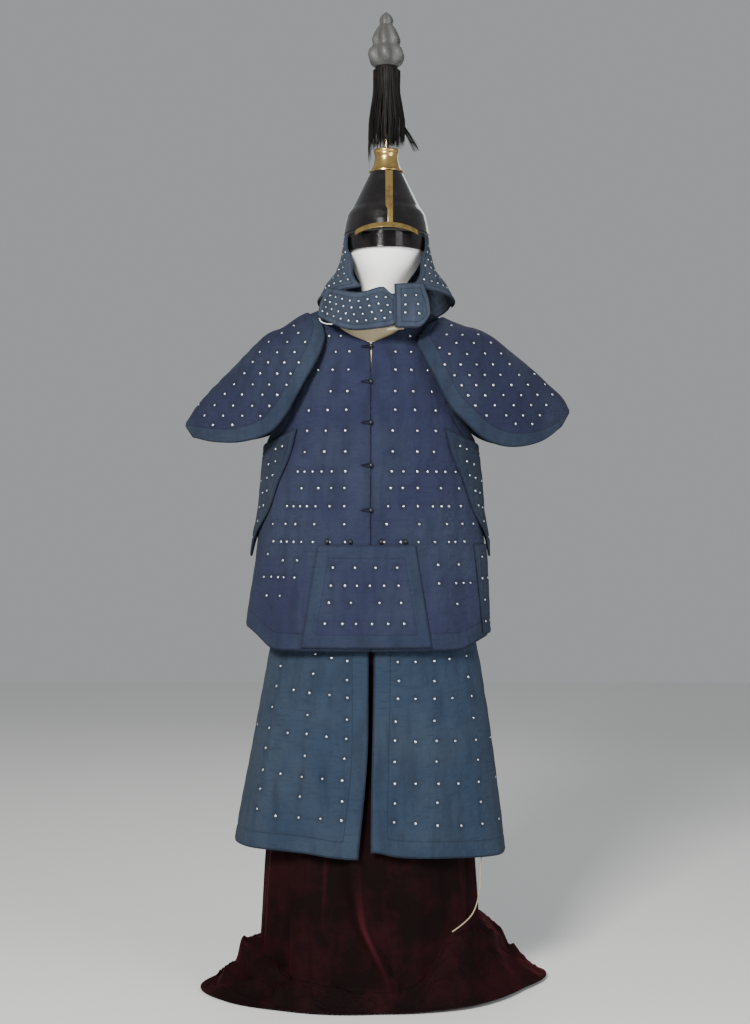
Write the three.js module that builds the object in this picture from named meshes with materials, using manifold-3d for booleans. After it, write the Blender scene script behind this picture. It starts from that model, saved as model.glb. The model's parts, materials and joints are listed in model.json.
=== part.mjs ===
// Studded, padded cloth armour of a mounted soldier, with its helmet, on a draped display stand.
// Millimetres, Z up. The armour faces -Y and the origin is on the floor under the stand's middle.
// Left and right in the tables are as seen from the front; in the names they are the wearer's.

import * as THREE from 'three';
import { mergeVertices } from 'three/addons/utils/BufferGeometryUtils.js';
import Module from 'manifold-3d';

const wasm = await Module();
wasm.setup();

// Driving dimensions: cloth, seams and fittings
const seamGap = 0.6;
const coatCloth = 6;
const guardCloth = 7;
const flapCloth = 5;
const skirtCloth = 5;
const collarCloth = 5;
const velvetCloth = 3;
const buttonRadius = 4.7;

// Driving dimensions: heights above the floor
const torsoBottom = 980;
const waistTop = 1060;
const waistBottom = 1035;
const flapTop = 1045;
const flapBottom = 812;
const skirtHem = 342;
const velvetTop = 770;
const coatFork = 1440;
const armholeMiddle = 1400;
const armholeReach = 112;
const armholeDepth = 28;
const ventTop = 960;
const collarTop = 1766;
const bandBottom = 1728;
const bowlTop = 1917;
const socketTop = 1971;
const plumeHeadBottom = 2100;
const finialBottom = 2166;

// Driving dimensions: the helmet stands a little to the side, and is longer than it is wide
const helmetX = 36;
const helmetLong = 1.1;
const bowlWall = 2.5;

const degree = Math.PI / 180;
const clamp = THREE.MathUtils.clamp;
const mix = THREE.MathUtils.lerp;
const soft = THREE.MathUtils.smoothstep;

// The coat's outer face, ring by ring from the hem to the neck point of the shoulder seam
const coatRows = [
  { z: 800, left: 301, right: 277, front: 168, back: 166 },
  { z: 900, left: 287, right: 272, front: 160, back: 159 },
  { z: 1020, left: 270, right: 267, front: 152, back: 152 },
  { z: 1167, left: 256, right: 257, front: 146, back: 150 },
  { z: 1261, left: 247, right: 248, front: 144, back: 150 },
  { z: 1350, left: 235, right: 235, front: 142, back: 150 },
  { z: 1420, left: 222, right: 222, front: 133, back: 146 },
  { z: 1470, left: 211, right: 211, front: 119, back: 136 },
  { z: 1520, left: 197, right: 197, front: 94, back: 114 },
  { z: 1556, left: 180, right: 180, front: 70, back: 90 },
  { z: 1583, left: 148, right: 148, front: 48, back: 66 },
  { z: 1597, left: 114, right: 114, front: 32, back: 46 },
  { z: 1609, left: 78, right: 78, front: 20, back: 30 },
];

// The neckline: how high the coat reaches at each angle from the front's middle
const neckline = [
  { angle: 0, z: 1509 },
  { angle: 16, z: 1533 },
  { angle: 30, z: 1563 },
  { angle: 50, z: 1593 },
  { angle: 90, z: 1609 },
  { angle: 130, z: 1597 },
  { angle: 180, z: 1576 },
];

// Broad soft waves in the coat and the skirt, as angle, width and how far each stands out at the hem
const coatWaves = [
  { angle: -128, width: 16, rise: 6 },
  { angle: -72, width: 12, rise: 5 },
  { angle: -31, width: 10, rise: 4 },
  { angle: 37, width: 11, rise: 5 },
  { angle: 68, width: 12, rise: 4 },
  { angle: 121, width: 15, rise: 6 },
  { angle: 165, width: 14, rise: 4 },
];
const skirtWaves = [
  { angle: -150, width: 14, rise: 8 },
  { angle: -104, width: 15, rise: 7 },
  { angle: -57, width: 13, rise: 7 },
  { angle: -20, width: 10, rise: 4 },
  { angle: 24, width: 11, rise: 5 },
  { angle: 62, width: 14, rise: 8 },
  { angle: 110, width: 15, rise: 6 },
  { angle: 148, width: 13, rise: 8 },
];

// The skirt's outer face
const skirtRows = [
  { z: 330, left: 322, right: 315, front: 198, back: 196 },
  { z: 480, left: 295, right: 297, front: 182, back: 180 },
  { z: 640, left: 266, right: 276, front: 164, back: 162 },
  { z: 790, left: 240, right: 252, front: 144, back: 142 },
  { z: 930, left: 216, right: 220, front: 126, back: 126 },
  { z: 1062, left: 193, right: 193, front: 113, back: 113 },
];

// The canvas torso under the coat, up to where its shoulders carry the coat
const torsoRows = [
  { z: 980, left: 166, right: 166, front: 90, back: 90 },
  { z: 1062, left: 183.6, right: 183.6, front: 103.6, back: 103.6 },
  { z: 1180, left: 190, right: 190, front: 112, back: 112 },
  { z: 1320, left: 204, right: 204, front: 120, back: 126 },
  { z: 1440, left: 206, right: 206, front: 120, back: 132 },
  { z: 1606, left: 60, right: 60, front: 12, back: 20 },
];
const neckRows = [
  { z: 1500, x: 2, wide: 54, deep: 58 },
  { z: 1570, x: 6, wide: 54, deep: 58 },
  { z: 1611.5, x: 16, wide: 49, deep: 55 },
];
const headRows = [
  { z: 1612, x: 16, wide: 47, deep: 55 },
  { z: 1634, x: 24, wide: 46, deep: 58 },
  { z: 1660, x: 29, wide: 56, deep: 70 },
  { z: 1692, x: 33, wide: 75, deep: 86 },
  { z: 1730, x: 36, wide: 87.6, deep: 96.4 },
  { z: 1780, x: 36, wide: 88.6, deep: 97.4 },
  { z: 1812, x: 36, wide: 85, deep: 93.5 },
  { z: 1834, x: 36, wide: 76.3, deep: 83.9 },
  { z: 1852, x: 36, wide: 58, deep: 64 },
  { z: 1864, x: 36, wide: 34, deep: 38 },
];

// The velvet round the foot of the stand: its smooth ring, and the ridges of its folds
const velvetRows = [
  { z: 0, left: 258, right: 258, front: 184, back: 184 },
  { z: 138, left: 250, right: 250, front: 178, back: 178 },
  { z: 300, left: 241, right: 241, front: 171, back: 171 },
  { z: 500, left: 230, right: 230, front: 150, back: 150 },
  { z: 780, left: 208, right: 208, front: 116, back: 116 },
  { z: 980, left: 170, right: 170, front: 94, back: 94 },
];
const velvetFolds = [
  { angle: -168, drift: -6, width: 6, rise: 9 },
  { angle: -141, drift: 5, width: 7, rise: 11 },
  { angle: -117, drift: -5, width: 6, rise: 9 },
  { angle: -92, drift: 6, width: 6, rise: 10 },
  { angle: -70, drift: -4, width: 5, rise: 8 },
  { angle: -38, drift: -3, width: 6, rise: 12 },
  { angle: -9, drift: 20, width: 5, rise: 9 },
  { angle: 27, drift: -4, width: 5, rise: 7 },
  { angle: 52, drift: 7, width: 6, rise: 11 },
  { angle: 79, drift: -5, width: 6, rise: 9 },
  { angle: 106, drift: 5, width: 7, rise: 11 },
  { angle: 133, drift: -6, width: 6, rise: 8 },
  { angle: 158, drift: 4, width: 6, rise: 10 },
];

// The heap of velvet on the floor: reach from the middle and height against the column
const heapRows = [
  { angle: -180, reach: 245, height: 70 },
  { angle: -140, reach: 300, height: 84 },
  { angle: -108, reach: 372, height: 120 },
  { angle: -90, reach: 401, height: 132 },
  { angle: -72, reach: 352, height: 112 },
  { angle: -45, reach: 268, height: 66 },
  { angle: 0, reach: 213, height: 38 },
  { angle: 28, reach: 232, height: 62 },
  { angle: 50, reach: 276, height: 166 },
  { angle: 84, reach: 352, height: 186 },
  { angle: 107, reach: 438, height: 150 },
  { angle: 128, reach: 340, height: 96 },
  { angle: 180, reach: 245, height: 70 },
];
const heapRim = 5;

// Shoulder guards: the ridge over the shoulder, the front edge, and the half depth of the arch
const rightGuardRows = [
  { s: 0, ridgeX: -145, ridgeZ: 1583, edgeX: -116, edgeZ: 1556, deep: 64 },
  { s: 0.1, ridgeX: -168, ridgeZ: 1572, edgeX: -107, edgeZ: 1517, deep: 96 },
  { s: 0.2, ridgeX: -198, ridgeZ: 1557, edgeX: -119, edgeZ: 1474, deep: 120 },
  { s: 0.35, ridgeX: -232, ridgeZ: 1543, edgeX: -148, edgeZ: 1420, deep: 131 },
  { s: 0.5, ridgeX: -265, ridgeZ: 1510, edgeX: -172, edgeZ: 1376, deep: 130 },
  { s: 0.62, ridgeX: -298, ridgeZ: 1477, edgeX: -193, edgeZ: 1340, deep: 124 },
  { s: 0.74, ridgeX: -333, ridgeZ: 1441, edgeX: -232, edgeZ: 1300, deep: 112 },
  { s: 0.85, ridgeX: -370, ridgeZ: 1404, edgeX: -296, edgeZ: 1281, deep: 92 },
  { s: 0.94, ridgeX: -404, ridgeZ: 1364, edgeX: -363, edgeZ: 1283, deep: 62 },
  { s: 1, ridgeX: -433, ridgeZ: 1320, edgeX: -414, edgeZ: 1296, deep: 22 },
];
const leftGuardRows = [
  { s: 0, ridgeX: 163, ridgeZ: 1572.4, edgeX: 132, edgeZ: 1550, deep: 66 },
  { s: 0.1, ridgeX: 188, ridgeZ: 1561.4, edgeX: 108, edgeZ: 1503, deep: 100 },
  { s: 0.2, ridgeX: 218, ridgeZ: 1550, edgeX: 120, edgeZ: 1474, deep: 121 },
  { s: 0.35, ridgeX: 256, ridgeZ: 1539, edgeX: 149, edgeZ: 1418, deep: 131 },
  { s: 0.5, ridgeX: 291, ridgeZ: 1518, edgeX: 178, edgeZ: 1362, deep: 128 },
  { s: 0.62, ridgeX: 326, ridgeZ: 1490, edgeX: 215, edgeZ: 1324, deep: 118 },
  { s: 0.74, ridgeX: 367, ridgeZ: 1456, edgeX: 262, edgeZ: 1285, deep: 104 },
  { s: 0.85, ridgeX: 408, ridgeZ: 1419, edgeX: 322, edgeZ: 1270, deep: 84 },
  { s: 0.94, ridgeX: 444, ridgeZ: 1384, edgeX: 391, edgeZ: 1284, deep: 56 },
  { s: 1, ridgeX: 463, ridgeZ: 1352, edgeX: 444, edgeZ: 1322, deep: 22 },
];

// Armpit guards: how far to the front and back each reaches down the side, as angles from the side
const armpitRows = [
  { z: 1016, reach: 4 },
  { z: 1060, reach: 12 },
  { z: 1120, reach: 26 },
  { z: 1190, reach: 34.5 },
  { z: 1245, reach: 42 },
  { z: 1312, reach: 46 },
];
const armpitTipLift = 6.5;
const armpitDip = 34;

// The cloth collar of the helmet: a bell round the neck, as distances from the helmet's axis
const collarRows = [
  { z: 1525, side: 176, front: 150, back: 188 },
  { z: 1560, side: 177, front: 150, back: 184 },
  { z: 1597, side: 172, front: 146, back: 174 },
  { z: 1620, side: 160, front: 140, back: 161 },
  { z: 1658, side: 140, front: 127, back: 144 },
  { z: 1686, side: 119, front: 117, back: 128 },
  { z: 1733, side: 104, front: 111, back: 114 },
  { z: 1766, side: 99.4, front: 109.4, back: 109.4 },
];
const cheekFront = [
  { v: 0, angle: 22 },
  { v: 0.3, angle: 38 },
  { v: 0.6, angle: 50 },
  { v: 0.78, angle: 64 },
  { v: 1, angle: 69 },
];
const throatRows = [
  { angle: -62, top: 1640, bottom: 1572 },
  { angle: -45, top: 1630, bottom: 1552 },
  { angle: -22, top: 1619, bottom: 1534 },
  { angle: -3, top: 1630, bottom: 1536 },
  { angle: 4, top: 1614, bottom: 1541 },
  { angle: 9, top: 1618, bottom: 1547 },
];

// The helmet bowl's outer radius, from its rim to its flat top
const bowlRows = [
  { z: 1771, radius: 100 },
  { z: 1795, radius: 96 },
  { z: 1814, radius: 91.5 },
  { z: 1822, radius: 88 },
  { z: 1834, radius: 79 },
  { z: 1875, radius: 58.7 },
  { z: 1917, radius: 38 },
];

// Colours, roughness and metalness
const indigoCloth = { color: 0x40456a, roughness: 0.85, metalness: 0 };
const greyBlueCloth = { color: 0x42576f, roughness: 0.85, metalness: 0 };
const collarBlue = { color: 0x485c76, roughness: 0.85, metalness: 0 };
const velvet = { color: 0x2c0f14, roughness: 0.9, metalness: 0 };
const canvas = { color: 0xd7c8a0, roughness: 0.9, metalness: 0 };
const whiteForm = { color: 0xf4f4f0, roughness: 0.6, metalness: 0 };
const board = { color: 0x3a2024, roughness: 0.9, metalness: 0 };
const blackLacquer = { color: 0x222021, roughness: 0.25, metalness: 0.1 };
const brass = { color: 0xb29655, roughness: 0.35, metalness: 0.9 };
const darkBronze = { color: 0x55493a, roughness: 0.45, metalness: 0.8 };
const paleHorn = { color: 0x6e6e6e, roughness: 0.5, metalness: 0.2 };
const blackHair = { color: 0x17120f, roughness: 0.7, metalness: 0 };
const beigeString = { color: 0xc8b48a, roughness: 0.9, metalness: 0 };

const armour = new THREE.Group();

function addPiece(name, geometry, look) {
  const mesh = new THREE.Mesh(geometry, new THREE.MeshStandardMaterial(look));
  mesh.name = name;
  armour.add(mesh);
}

// Reads one named column of a table, smoothly between its rows
function along(table, place, at, name) {
  const last = table.length - 1;
  let row = 0;
  while (row < last - 1 && at > table[row + 1][place]) {
    row += 1;
  }
  const slope = (i) => {
    const low = table[Math.max(i - 1, 0)];
    const high = table[Math.min(i + 1, last)];
    return (high[name] - low[name]) / (high[place] - low[place]);
  };
  const from = table[row];
  const to = table[row + 1];
  const span = to[place] - from[place];
  const t = clamp((at - from[place]) / span, 0, 1);
  const square = t * t;
  const cube = square * t;
  const start = (2 * cube - 3 * square + 1) * from[name] + (cube - 2 * square + t) * span * slope(row);
  const end = (3 * square - 2 * cube) * to[name] + (cube - square) * span * slope(row + 1);
  return start + end;
}

// A point on a body's ring; angles run from the front's middle towards +X
function ringPoint(rows, angle, z) {
  const across = Math.sin(angle);
  const ahead = Math.cos(angle);
  const side = along(rows, 'z', z, across < 0 ? 'left' : 'right');
  const depth = along(rows, 'z', z, ahead > 0 ? 'front' : 'back');
  return new THREE.Vector3(across * side, -ahead * depth, z);
}

// The sum of soft ridges round a ring, at an angle in degrees
function ridges(waves, angle, drift) {
  let sum = 0;
  for (const wave of waves) {
    const middle = wave.angle + (wave.drift ?? 0) * drift;
    const away = THREE.MathUtils.euclideanModulo(angle - middle + 180, 360) - 180;
    sum += wave.rise * Math.exp(-((away / wave.width) ** 2));
  }
  return sum;
}

// Moves a ring's point straight out from the axis
function pushedOut(point, distance) {
  const flat = Math.hypot(point.x, point.y);
  return point.multiply(new THREE.Vector3(1 + distance / flat, 1 + distance / flat, 1));
}

// A surface's point moved along its outward normal
function lifted(surface, u, v, distance) {
  const step = 1e-3;
  const alongU = surface(u + step, v).sub(surface(u - step, v));
  const alongV = surface(u, v + step).sub(surface(u, v - step));
  return surface(u, v).addScaledVector(alongU.cross(alongV).normalize(), distance);
}

function indexed(points, faces) {
  const geometry = new THREE.BufferGeometry();
  geometry.setFromPoints(points);
  geometry.setIndex(faces);
  return geometry;
}

function addQuad(faces, a, b, c, d) {
  faces.push(a, b, c, a, c, d);
}

// A cloth wall over a surface, between two lifts from it, with all its rims closed
function wall(surface, uSteps, vSteps, innerLift, outerLift) {
  const points = [];
  for (const lift of [outerLift, innerLift]) {
    for (let j = 0; j <= vSteps; j += 1) {
      for (let i = 0; i <= uSteps; i += 1) {
        points.push(lifted(surface, i / uSteps, j / vSteps, lift));
      }
    }
  }
  const layer = (uSteps + 1) * (vSteps + 1);
  const at = (i, j, inner) => inner * layer + j * (uSteps + 1) + i;
  const faces = [];
  for (let j = 0; j < vSteps; j += 1) {
    for (let i = 0; i < uSteps; i += 1) {
      addQuad(faces, at(i, j, 0), at(i + 1, j, 0), at(i + 1, j + 1, 0), at(i, j + 1, 0));
      addQuad(faces, at(i, j, 1), at(i, j + 1, 1), at(i + 1, j + 1, 1), at(i + 1, j, 1));
    }
    addQuad(faces, at(0, j, 0), at(0, j + 1, 0), at(0, j + 1, 1), at(0, j, 1));
    addQuad(faces, at(uSteps, j, 0), at(uSteps, j, 1), at(uSteps, j + 1, 1), at(uSteps, j + 1, 0));
  }
  for (let i = 0; i < uSteps; i += 1) {
    addQuad(faces, at(i, 0, 1), at(i + 1, 0, 1), at(i + 1, 0, 0), at(i, 0, 0));
    addQuad(faces, at(i, vSteps, 0), at(i + 1, vSteps, 0), at(i + 1, vSteps, 1), at(i, vSteps, 1));
  }
  return indexed(points, faces);
}

// A ring of closed sections, such as a tube wall or a heap round a column
function ringOfSections(sectionPoint, sides, corners) {
  const points = [];
  for (let i = 0; i < sides; i += 1) {
    for (let k = 0; k < corners; k += 1) {
      points.push(sectionPoint((i / sides) * 2 * Math.PI, k));
    }
  }
  const at = (i, k) => (i % sides) * corners + (k % corners);
  const faces = [];
  for (let i = 0; i < sides; i += 1) {
    for (let k = 0; k < corners; k += 1) {
      addQuad(faces, at(i, k), at(i + 1, k), at(i + 1, k + 1), at(i, k + 1));
    }
  }
  return indexed(points, faces);
}

// A filled form from rings, closed flat at both ends
function filled(ringAt, sides, levels) {
  const points = [];
  for (let j = 0; j <= levels; j += 1) {
    for (let i = 0; i < sides; i += 1) {
      points.push(ringAt((i / sides) * 2 * Math.PI, j / levels));
    }
  }
  const at = (i, j) => j * sides + (i % sides);
  const faces = [];
  for (let j = 0; j < levels; j += 1) {
    for (let i = 0; i < sides; i += 1) {
      addQuad(faces, at(i, j), at(i + 1, j), at(i + 1, j + 1), at(i, j + 1));
    }
  }
  for (let i = 1; i < sides - 1; i += 1) {
    faces.push(at(0, 0), at(i + 1, 0), at(i, 0));
    faces.push(at(0, levels), at(i, levels), at(i + 1, levels));
  }
  return indexed(points, faces);
}

// A turned form about a vertical axis, longer from front to back by the given factor
function turned(profile, sides, x, long) {
  const points = profile.map(([radius, z]) => new THREE.Vector2(radius, z));
  const geometry = new THREE.LatheGeometry(points, sides);
  geometry.rotateX(Math.PI / 2);
  geometry.scale(1, long, 1);
  geometry.translate(x, 0, 0);
  return geometry;
}

// Joins solids into one
function toSolid(geometry) {
  const bare = geometry.clone();
  bare.deleteAttribute('normal');
  bare.deleteAttribute('uv');
  const merged = mergeVertices(bare, 1e-4);
  const vertProperties = new Float32Array(merged.attributes.position.array);
  const triVerts = new Uint32Array(merged.index.array);
  return new wasm.Manifold(new wasm.Mesh({ numProp: 3, vertProperties, triVerts }));
}

function toGeometry(solid) {
  const mesh = solid.getMesh();
  const geometry = new THREE.BufferGeometry();
  geometry.setAttribute('position', new THREE.BufferAttribute(mesh.vertProperties, 3));
  geometry.setIndex(new THREE.BufferAttribute(mesh.triVerts, 1));
  return geometry;
}

function joined(first, others) {
  let solid = toSolid(first);
  for (const other of others) {
    solid = solid.add(toSolid(other));
  }
  return toGeometry(solid);
}

// The coat

function coatPoint(angle, z) {
  const hang = 1 - soft(z, 850, 1180);
  return pushedOut(ringPoint(coatRows, angle, z), ridges(coatWaves, angle / degree, 0) * hang);
}

function coatHem(angle) {
  const sideways = soft(Math.abs(Math.sin(angle)), 0.72, 1);
  return 805 + sideways * (Math.sin(angle) < 0 ? 50 : 27);
}

function coatTop(angle) {
  const turn = Math.abs(THREE.MathUtils.euclideanModulo(angle / degree + 180, 360) - 180);
  return along(neckline, 'angle', turn, 'z');
}

// Heights run from the hem to the fork, and from there to the neckline
const forkShare = 9 / 14;
function coatHeight(angle, v) {
  if (v < forkShare) {
    return mix(coatHem(angle), coatFork, v / forkShare);
  }
  return mix(coatFork, coatTop(angle), (v - forkShare) / (1 - forkShare));
}

// How far short of the side the cloth stops: the seam, the vent under it and the armhole above
function sideCut(z) {
  const vent = 2.2 * (1 - soft(z, 800, ventTop));
  const into = clamp((z - armholeMiddle) / armholeReach, -1, 1);
  const armhole = armholeDepth * Math.sqrt(1 - into * into);
  return (0.22 + vent + armhole) * degree;
}

function coatPanel(fromAngle, toAngle, fromIsSide, toIsSide) {
  return (u, v) => {
    const height = coatHeight(mix(fromAngle, toAngle, u), v);
    const from = fromAngle + (fromIsSide ? sideCut(height) : 0);
    const to = toAngle - (toIsSide ? sideCut(height) : 0);
    const angle = mix(from, to, u);
    return coatPoint(angle, coatHeight(angle, v));
  };
}

const quarter = Math.PI / 2;
const openingHalf = 0.12 * degree;
const coatRight = coatPanel(-quarter, -openingHalf, true, false);
const coatLeft = coatPanel(openingHalf, quarter, false, true);
const coatBack = coatPanel(quarter, 3 * quarter, true, true);
const frontSteps = { u: 8, v: 14 };

function addCoat() {
  const right = wall(coatRight, frontSteps.u, frontSteps.v, -coatCloth, 0);
  const left = wall(coatLeft, frontSteps.u, frontSteps.v, -coatCloth, 0);
  const back = wall(coatBack, 2 * frontSteps.u, frontSteps.v, -coatCloth, 0);
  addPiece('coat_front_right', right, indigoCloth);
  addPiece('coat_front_left', left, indigoCloth);
  addPiece('coat_back', back, indigoCloth);
}

// A ball button just clear of the coat, sunk by what the coat's flat facets lie inside its curve
function ballOn(angle, z, sink) {
  const ball = new THREE.SphereGeometry(buttonRadius, 8, 4);
  const middle = lifted(coatPoint, angle, z, buttonRadius + 0.5 - sink);
  ball.translate(middle.x, middle.y, middle.z);
  return ball;
}

const coatButtons = [
  { z: 1498, sink: 0.4 },
  { z: 1416, sink: 1.4 },
  { z: 1323, sink: 0.9 },
  { z: 1226, sink: 0.2 },
  { z: 1124, sink: 0.2 },
];
function addCoatButtons() {
  coatButtons.forEach((button, i) => {
    addPiece(`coat_button_${i + 1}`, ballOn(0, button.z, button.sink), darkBronze);
  });
}

// Flaps that lie on the coat, wider at the foot

function angleAtX(x, z) {
  const reach = along(coatRows, 'z', z, x < 0 ? 'left' : 'right');
  return Math.asin(clamp(x / reach, -1, 1));
}

const frontFlapRows = [
  { v: 0, left: -155, right: 136 },
  { v: 1, left: -119, right: 101 },
];
function frontFlap(u, v) {
  const z = mix(flapBottom, flapTop, v);
  const x = mix(along(frontFlapRows, 'v', v, 'left'), along(frontFlapRows, 'v', v, 'right'), u);
  return coatPoint(angleAtX(x, z), z);
}

const sideFlapBottom = 838;
function sideFlap(u, v) {
  const z = mix(sideFlapBottom, flapTop, v);
  const reach = mix(23, 28, v) * degree;
  return coatPoint(quarter + mix(-reach, reach, u), z);
}

const frontLift = 0.8;
const flapLift = 2.2;
const sideLift = 1.6;
function addFlaps() {
  addPiece('front_flap', wall(frontFlap, 9, 5, frontLift, frontLift + flapCloth), greyBlueCloth);
  addPiece('side_flap', wall(sideFlap, 6, 5, sideLift, sideLift + flapCloth), greyBlueCloth);
}

const flapButtons = [
  { x: -98, sink: 0.2 },
  { x: -46, sink: 0.3 },
  { x: 23, sink: 0.7 },
  { x: 78, sink: 0.7 },
];
function addFlapButtons() {
  flapButtons.forEach((button, i) => {
    const angle = angleAtX(button.x, flapTop);
    addPiece(`flap_button_${i + 1}`, ballOn(angle, flapTop + 8, button.sink), darkBronze);
  });
}

// Armpit guards hang over the coat's sides from the armholes down to a point

function armpitGuard(middle) {
  return (u, v) => {
    const spread = 2 * u - 1;
    const low = armpitRows[0].z;
    const high = armpitRows[armpitRows.length - 1].z - armpitDip * (1 - spread * spread);
    const z = mix(low, high, v);
    const point = coatPoint(middle + spread * along(armpitRows, 'z', z, 'reach') * degree, z);
    return pushedOut(point, armpitTipLift * (1 - soft(z, 1050, 1130)));
  };
}

function addArmpitGuards() {
  const hung = (middle) => wall(armpitGuard(middle), 8, 6, flapLift, flapLift + flapCloth);
  addPiece('armpit_guard_right', hung(-quarter), greyBlueCloth);
  addPiece('armpit_guard_left', hung(quarter), greyBlueCloth);
}

// Shoulder guards: stiff leaves arched over the shoulders from front to back

const guardBackFuller = 1.16;
function shoulderGuard(rows, turn) {
  return (u, v) => {
    const across = Math.min(Math.abs(2 * u - 1), 1);
    const drop = 1 - Math.cos(across * quarter) ** 1.25;
    const out = Math.sin(across * quarter) ** 0.9;
    const side = 2 * u - 1 < 0 ? -1 : 1;
    const x = mix(along(rows, 's', v, 'ridgeX'), along(rows, 's', v, 'edgeX'), drop);
    const z = mix(along(rows, 's', v, 'ridgeZ'), along(rows, 's', v, 'edgeZ'), drop);
    const depth = along(rows, 's', v, 'deep') * (turn * side < 0 ? 1 : guardBackFuller);
    return new THREE.Vector3(x, turn * side * out * depth, z);
  };
}

const rightGuard = shoulderGuard(rightGuardRows, -1);
const leftGuard = shoulderGuard(leftGuardRows, 1);

function addShoulderGuards() {
  addPiece('shoulder_guard_right', wall(rightGuard, 16, 9, -guardCloth, 0), indigoCloth);
  addPiece('shoulder_guard_left', wall(leftGuard, 16, 9, -guardCloth, 0), indigoCloth);
}

// The skirt: two panels open at the front and back, on one waistband

function skirtPoint(angle, z) {
  const hang = 1 - soft(z, 380, 860);
  return pushedOut(ringPoint(skirtRows, angle, z), ridges(skirtWaves, angle / degree, 0) * hang);
}

// The skirt's hem hangs a little lower on the wearer's left, and its front corner there is raised
const skirtHemRows = [
  { angle: -180, z: 341 },
  { angle: -90, z: 350 },
  { angle: -50, z: 353 },
  { angle: -28, z: 352 },
  { angle: -5, z: 342 },
  { angle: 0, z: 357 },
  { angle: 11, z: 347 },
  { angle: 28, z: 341 },
  { angle: 55, z: 333 },
  { angle: 90, z: 327 },
  { angle: 180, z: 341 },
];
const skirtOverlap = 8;
function skirtPanel(side) {
  return (u, v) => {
    const rightSlit = 1.2 + 4.4 * (1 - soft(v, -0.12, 0.4));
    const leftSlit = mix(-0.1, 1.6, soft(v, 0, 0.75));
    const backSlit = mix(4, 1.2, v);
    const from = side < 0 ? -180 + backSlit : leftSlit;
    const to = side < 0 ? -rightSlit : 180 - backSlit;
    const angle = mix(from, to, u);
    const hem = along(skirtHemRows, 'angle', clamp(angle, -180, 180), 'z');
    return skirtPoint(angle * degree, mix(hem, waistBottom + skirtOverlap, v));
  };
}

const skirtRight = skirtPanel(-1);
const skirtLeft = skirtPanel(1);

function addSkirt() {
  addPiece('skirt_right', wall(skirtRight, 16, 7, -skirtCloth, 0), greyBlueCloth);
  addPiece('skirt_left', wall(skirtLeft, 16, 7, -skirtCloth, 0), greyBlueCloth);
}

// The waistband: a ring between the torso and the tops of the two panels
const waistbandLift = skirtCloth + 3 * seamGap;
const waistbandCloth = 3;
function addWaistband() {
  const corners = [
    { z: waistBottom, lift: -waistbandLift },
    { z: waistTop, lift: -waistbandLift },
    { z: waistTop, lift: -waistbandLift - waistbandCloth },
    { z: waistBottom, lift: -waistbandLift - waistbandCloth },
  ];
  const band = (angle, k) => pushedOut(ringPoint(skirtRows, angle, corners[k].z), corners[k].lift);
  addPiece('skirt_waistband', ringOfSections(band, 32, corners.length), beigeString);
}

// A string that hangs from inside the skirt and comes to rest on the heap of velvet
const tieRadius = 1.4;
const tieAngle = 55 * degree;
const tieTop = 372;
const tieRoute = [
  { x: 250, y: -108, z: 305 },
  { x: 249, y: -112, z: 266 },
  { x: 242, y: -120, z: 230 },
  { x: 229, y: -130, z: 204 },
  { x: 206, y: -140, z: 184 },
  { x: 184, y: -147, z: 170 },
];
function addTie() {
  const sewn = (z) => pushedOut(skirtPoint(tieAngle, z), -skirtCloth - tieRadius - 4.6 * seamGap);
  const loose = tieRoute.map((p) => new THREE.Vector3(p.x, p.y, p.z));
  const curve = new THREE.CatmullRomCurve3([sewn(tieTop), sewn(skirtHem), ...loose]);
  const section = new THREE.Shape();
  section.absarc(0, 0, tieRadius, 0, 2 * Math.PI);
  const settings = { steps: 12, curveSegments: 8, bevelEnabled: false, extrudePath: curve };
  addPiece('skirt_tie', new THREE.ExtrudeGeometry(section, settings), beigeString);
}

// The stand: a drum under velvet, a canvas torso with its neck, and a smooth head

function velvetPoint(angle, z, lift) {
  const drift = 1 - soft(z, 0, 320);
  const fold = ridges(velvetFolds, angle / degree, drift) * mix(1, 0.45, soft(z, 0, velvetTop));
  return pushedOut(ringPoint(velvetRows, angle, z), fold + lift);
}

const velvetLevels = 3;
const drumInset = velvetCloth + seamGap;
function drumRing(angle, v) {
  const level = Math.round(v * (velvetLevels + 1));
  const z = level > velvetLevels ? torsoBottom - 0.5 : (velvetTop * level) / velvetLevels;
  return pushedOut(ringPoint(velvetRows, angle, z), -drumInset);
}

function velvetSection(angle, k) {
  const outer = k <= velvetLevels;
  const level = outer ? k : 2 * velvetLevels + 1 - k;
  const z = mix(0, velvetTop, level / velvetLevels);
  return velvetPoint(angle, z, outer ? 0 : -velvetCloth);
}

// The heap's inner edge follows the velvet column, just clear of its folds
const heapClear = 4;
function againstVelvet(angle, z) {
  const levelHeight = velvetTop / velvetLevels;
  const foot = velvetPoint(angle, 0, heapClear);
  return foot.lerp(velvetPoint(angle, levelHeight, heapClear), z / levelHeight);
}

const heapLevels = 4;
function heapSection(angle, k) {
  const turn = THREE.MathUtils.euclideanModulo(angle / degree + 180, 360) - 180;
  const reach = along(heapRows, 'angle', turn, 'reach');
  const height = along(heapRows, 'angle', turn, 'height');
  const outer = new THREE.Vector3(Math.sin(angle) * reach, -Math.cos(angle) * reach, 0);
  if (k === 0) {
    return outer;
  }
  if (k > heapLevels) {
    return againstVelvet(angle, k === heapLevels + 1 ? height : 0);
  }
  const inwards = (k - 1) / heapLevels;
  const inner = againstVelvet(angle, height);
  const crumple = Math.sin(9 * angle + 5 * inwards) + 0.7 * Math.sin(17 * angle - 7 * inwards);
  const swell = 4 * inwards * (1 - inwards);
  const rise = mix(heapRim, height, soft(inwards, -0.1, 1.02) ** 0.85);
  const point = outer.clone().lerp(inner, inwards);
  return point.setZ(rise + swell * crumple * Math.min(10, height / 8));
}

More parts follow.
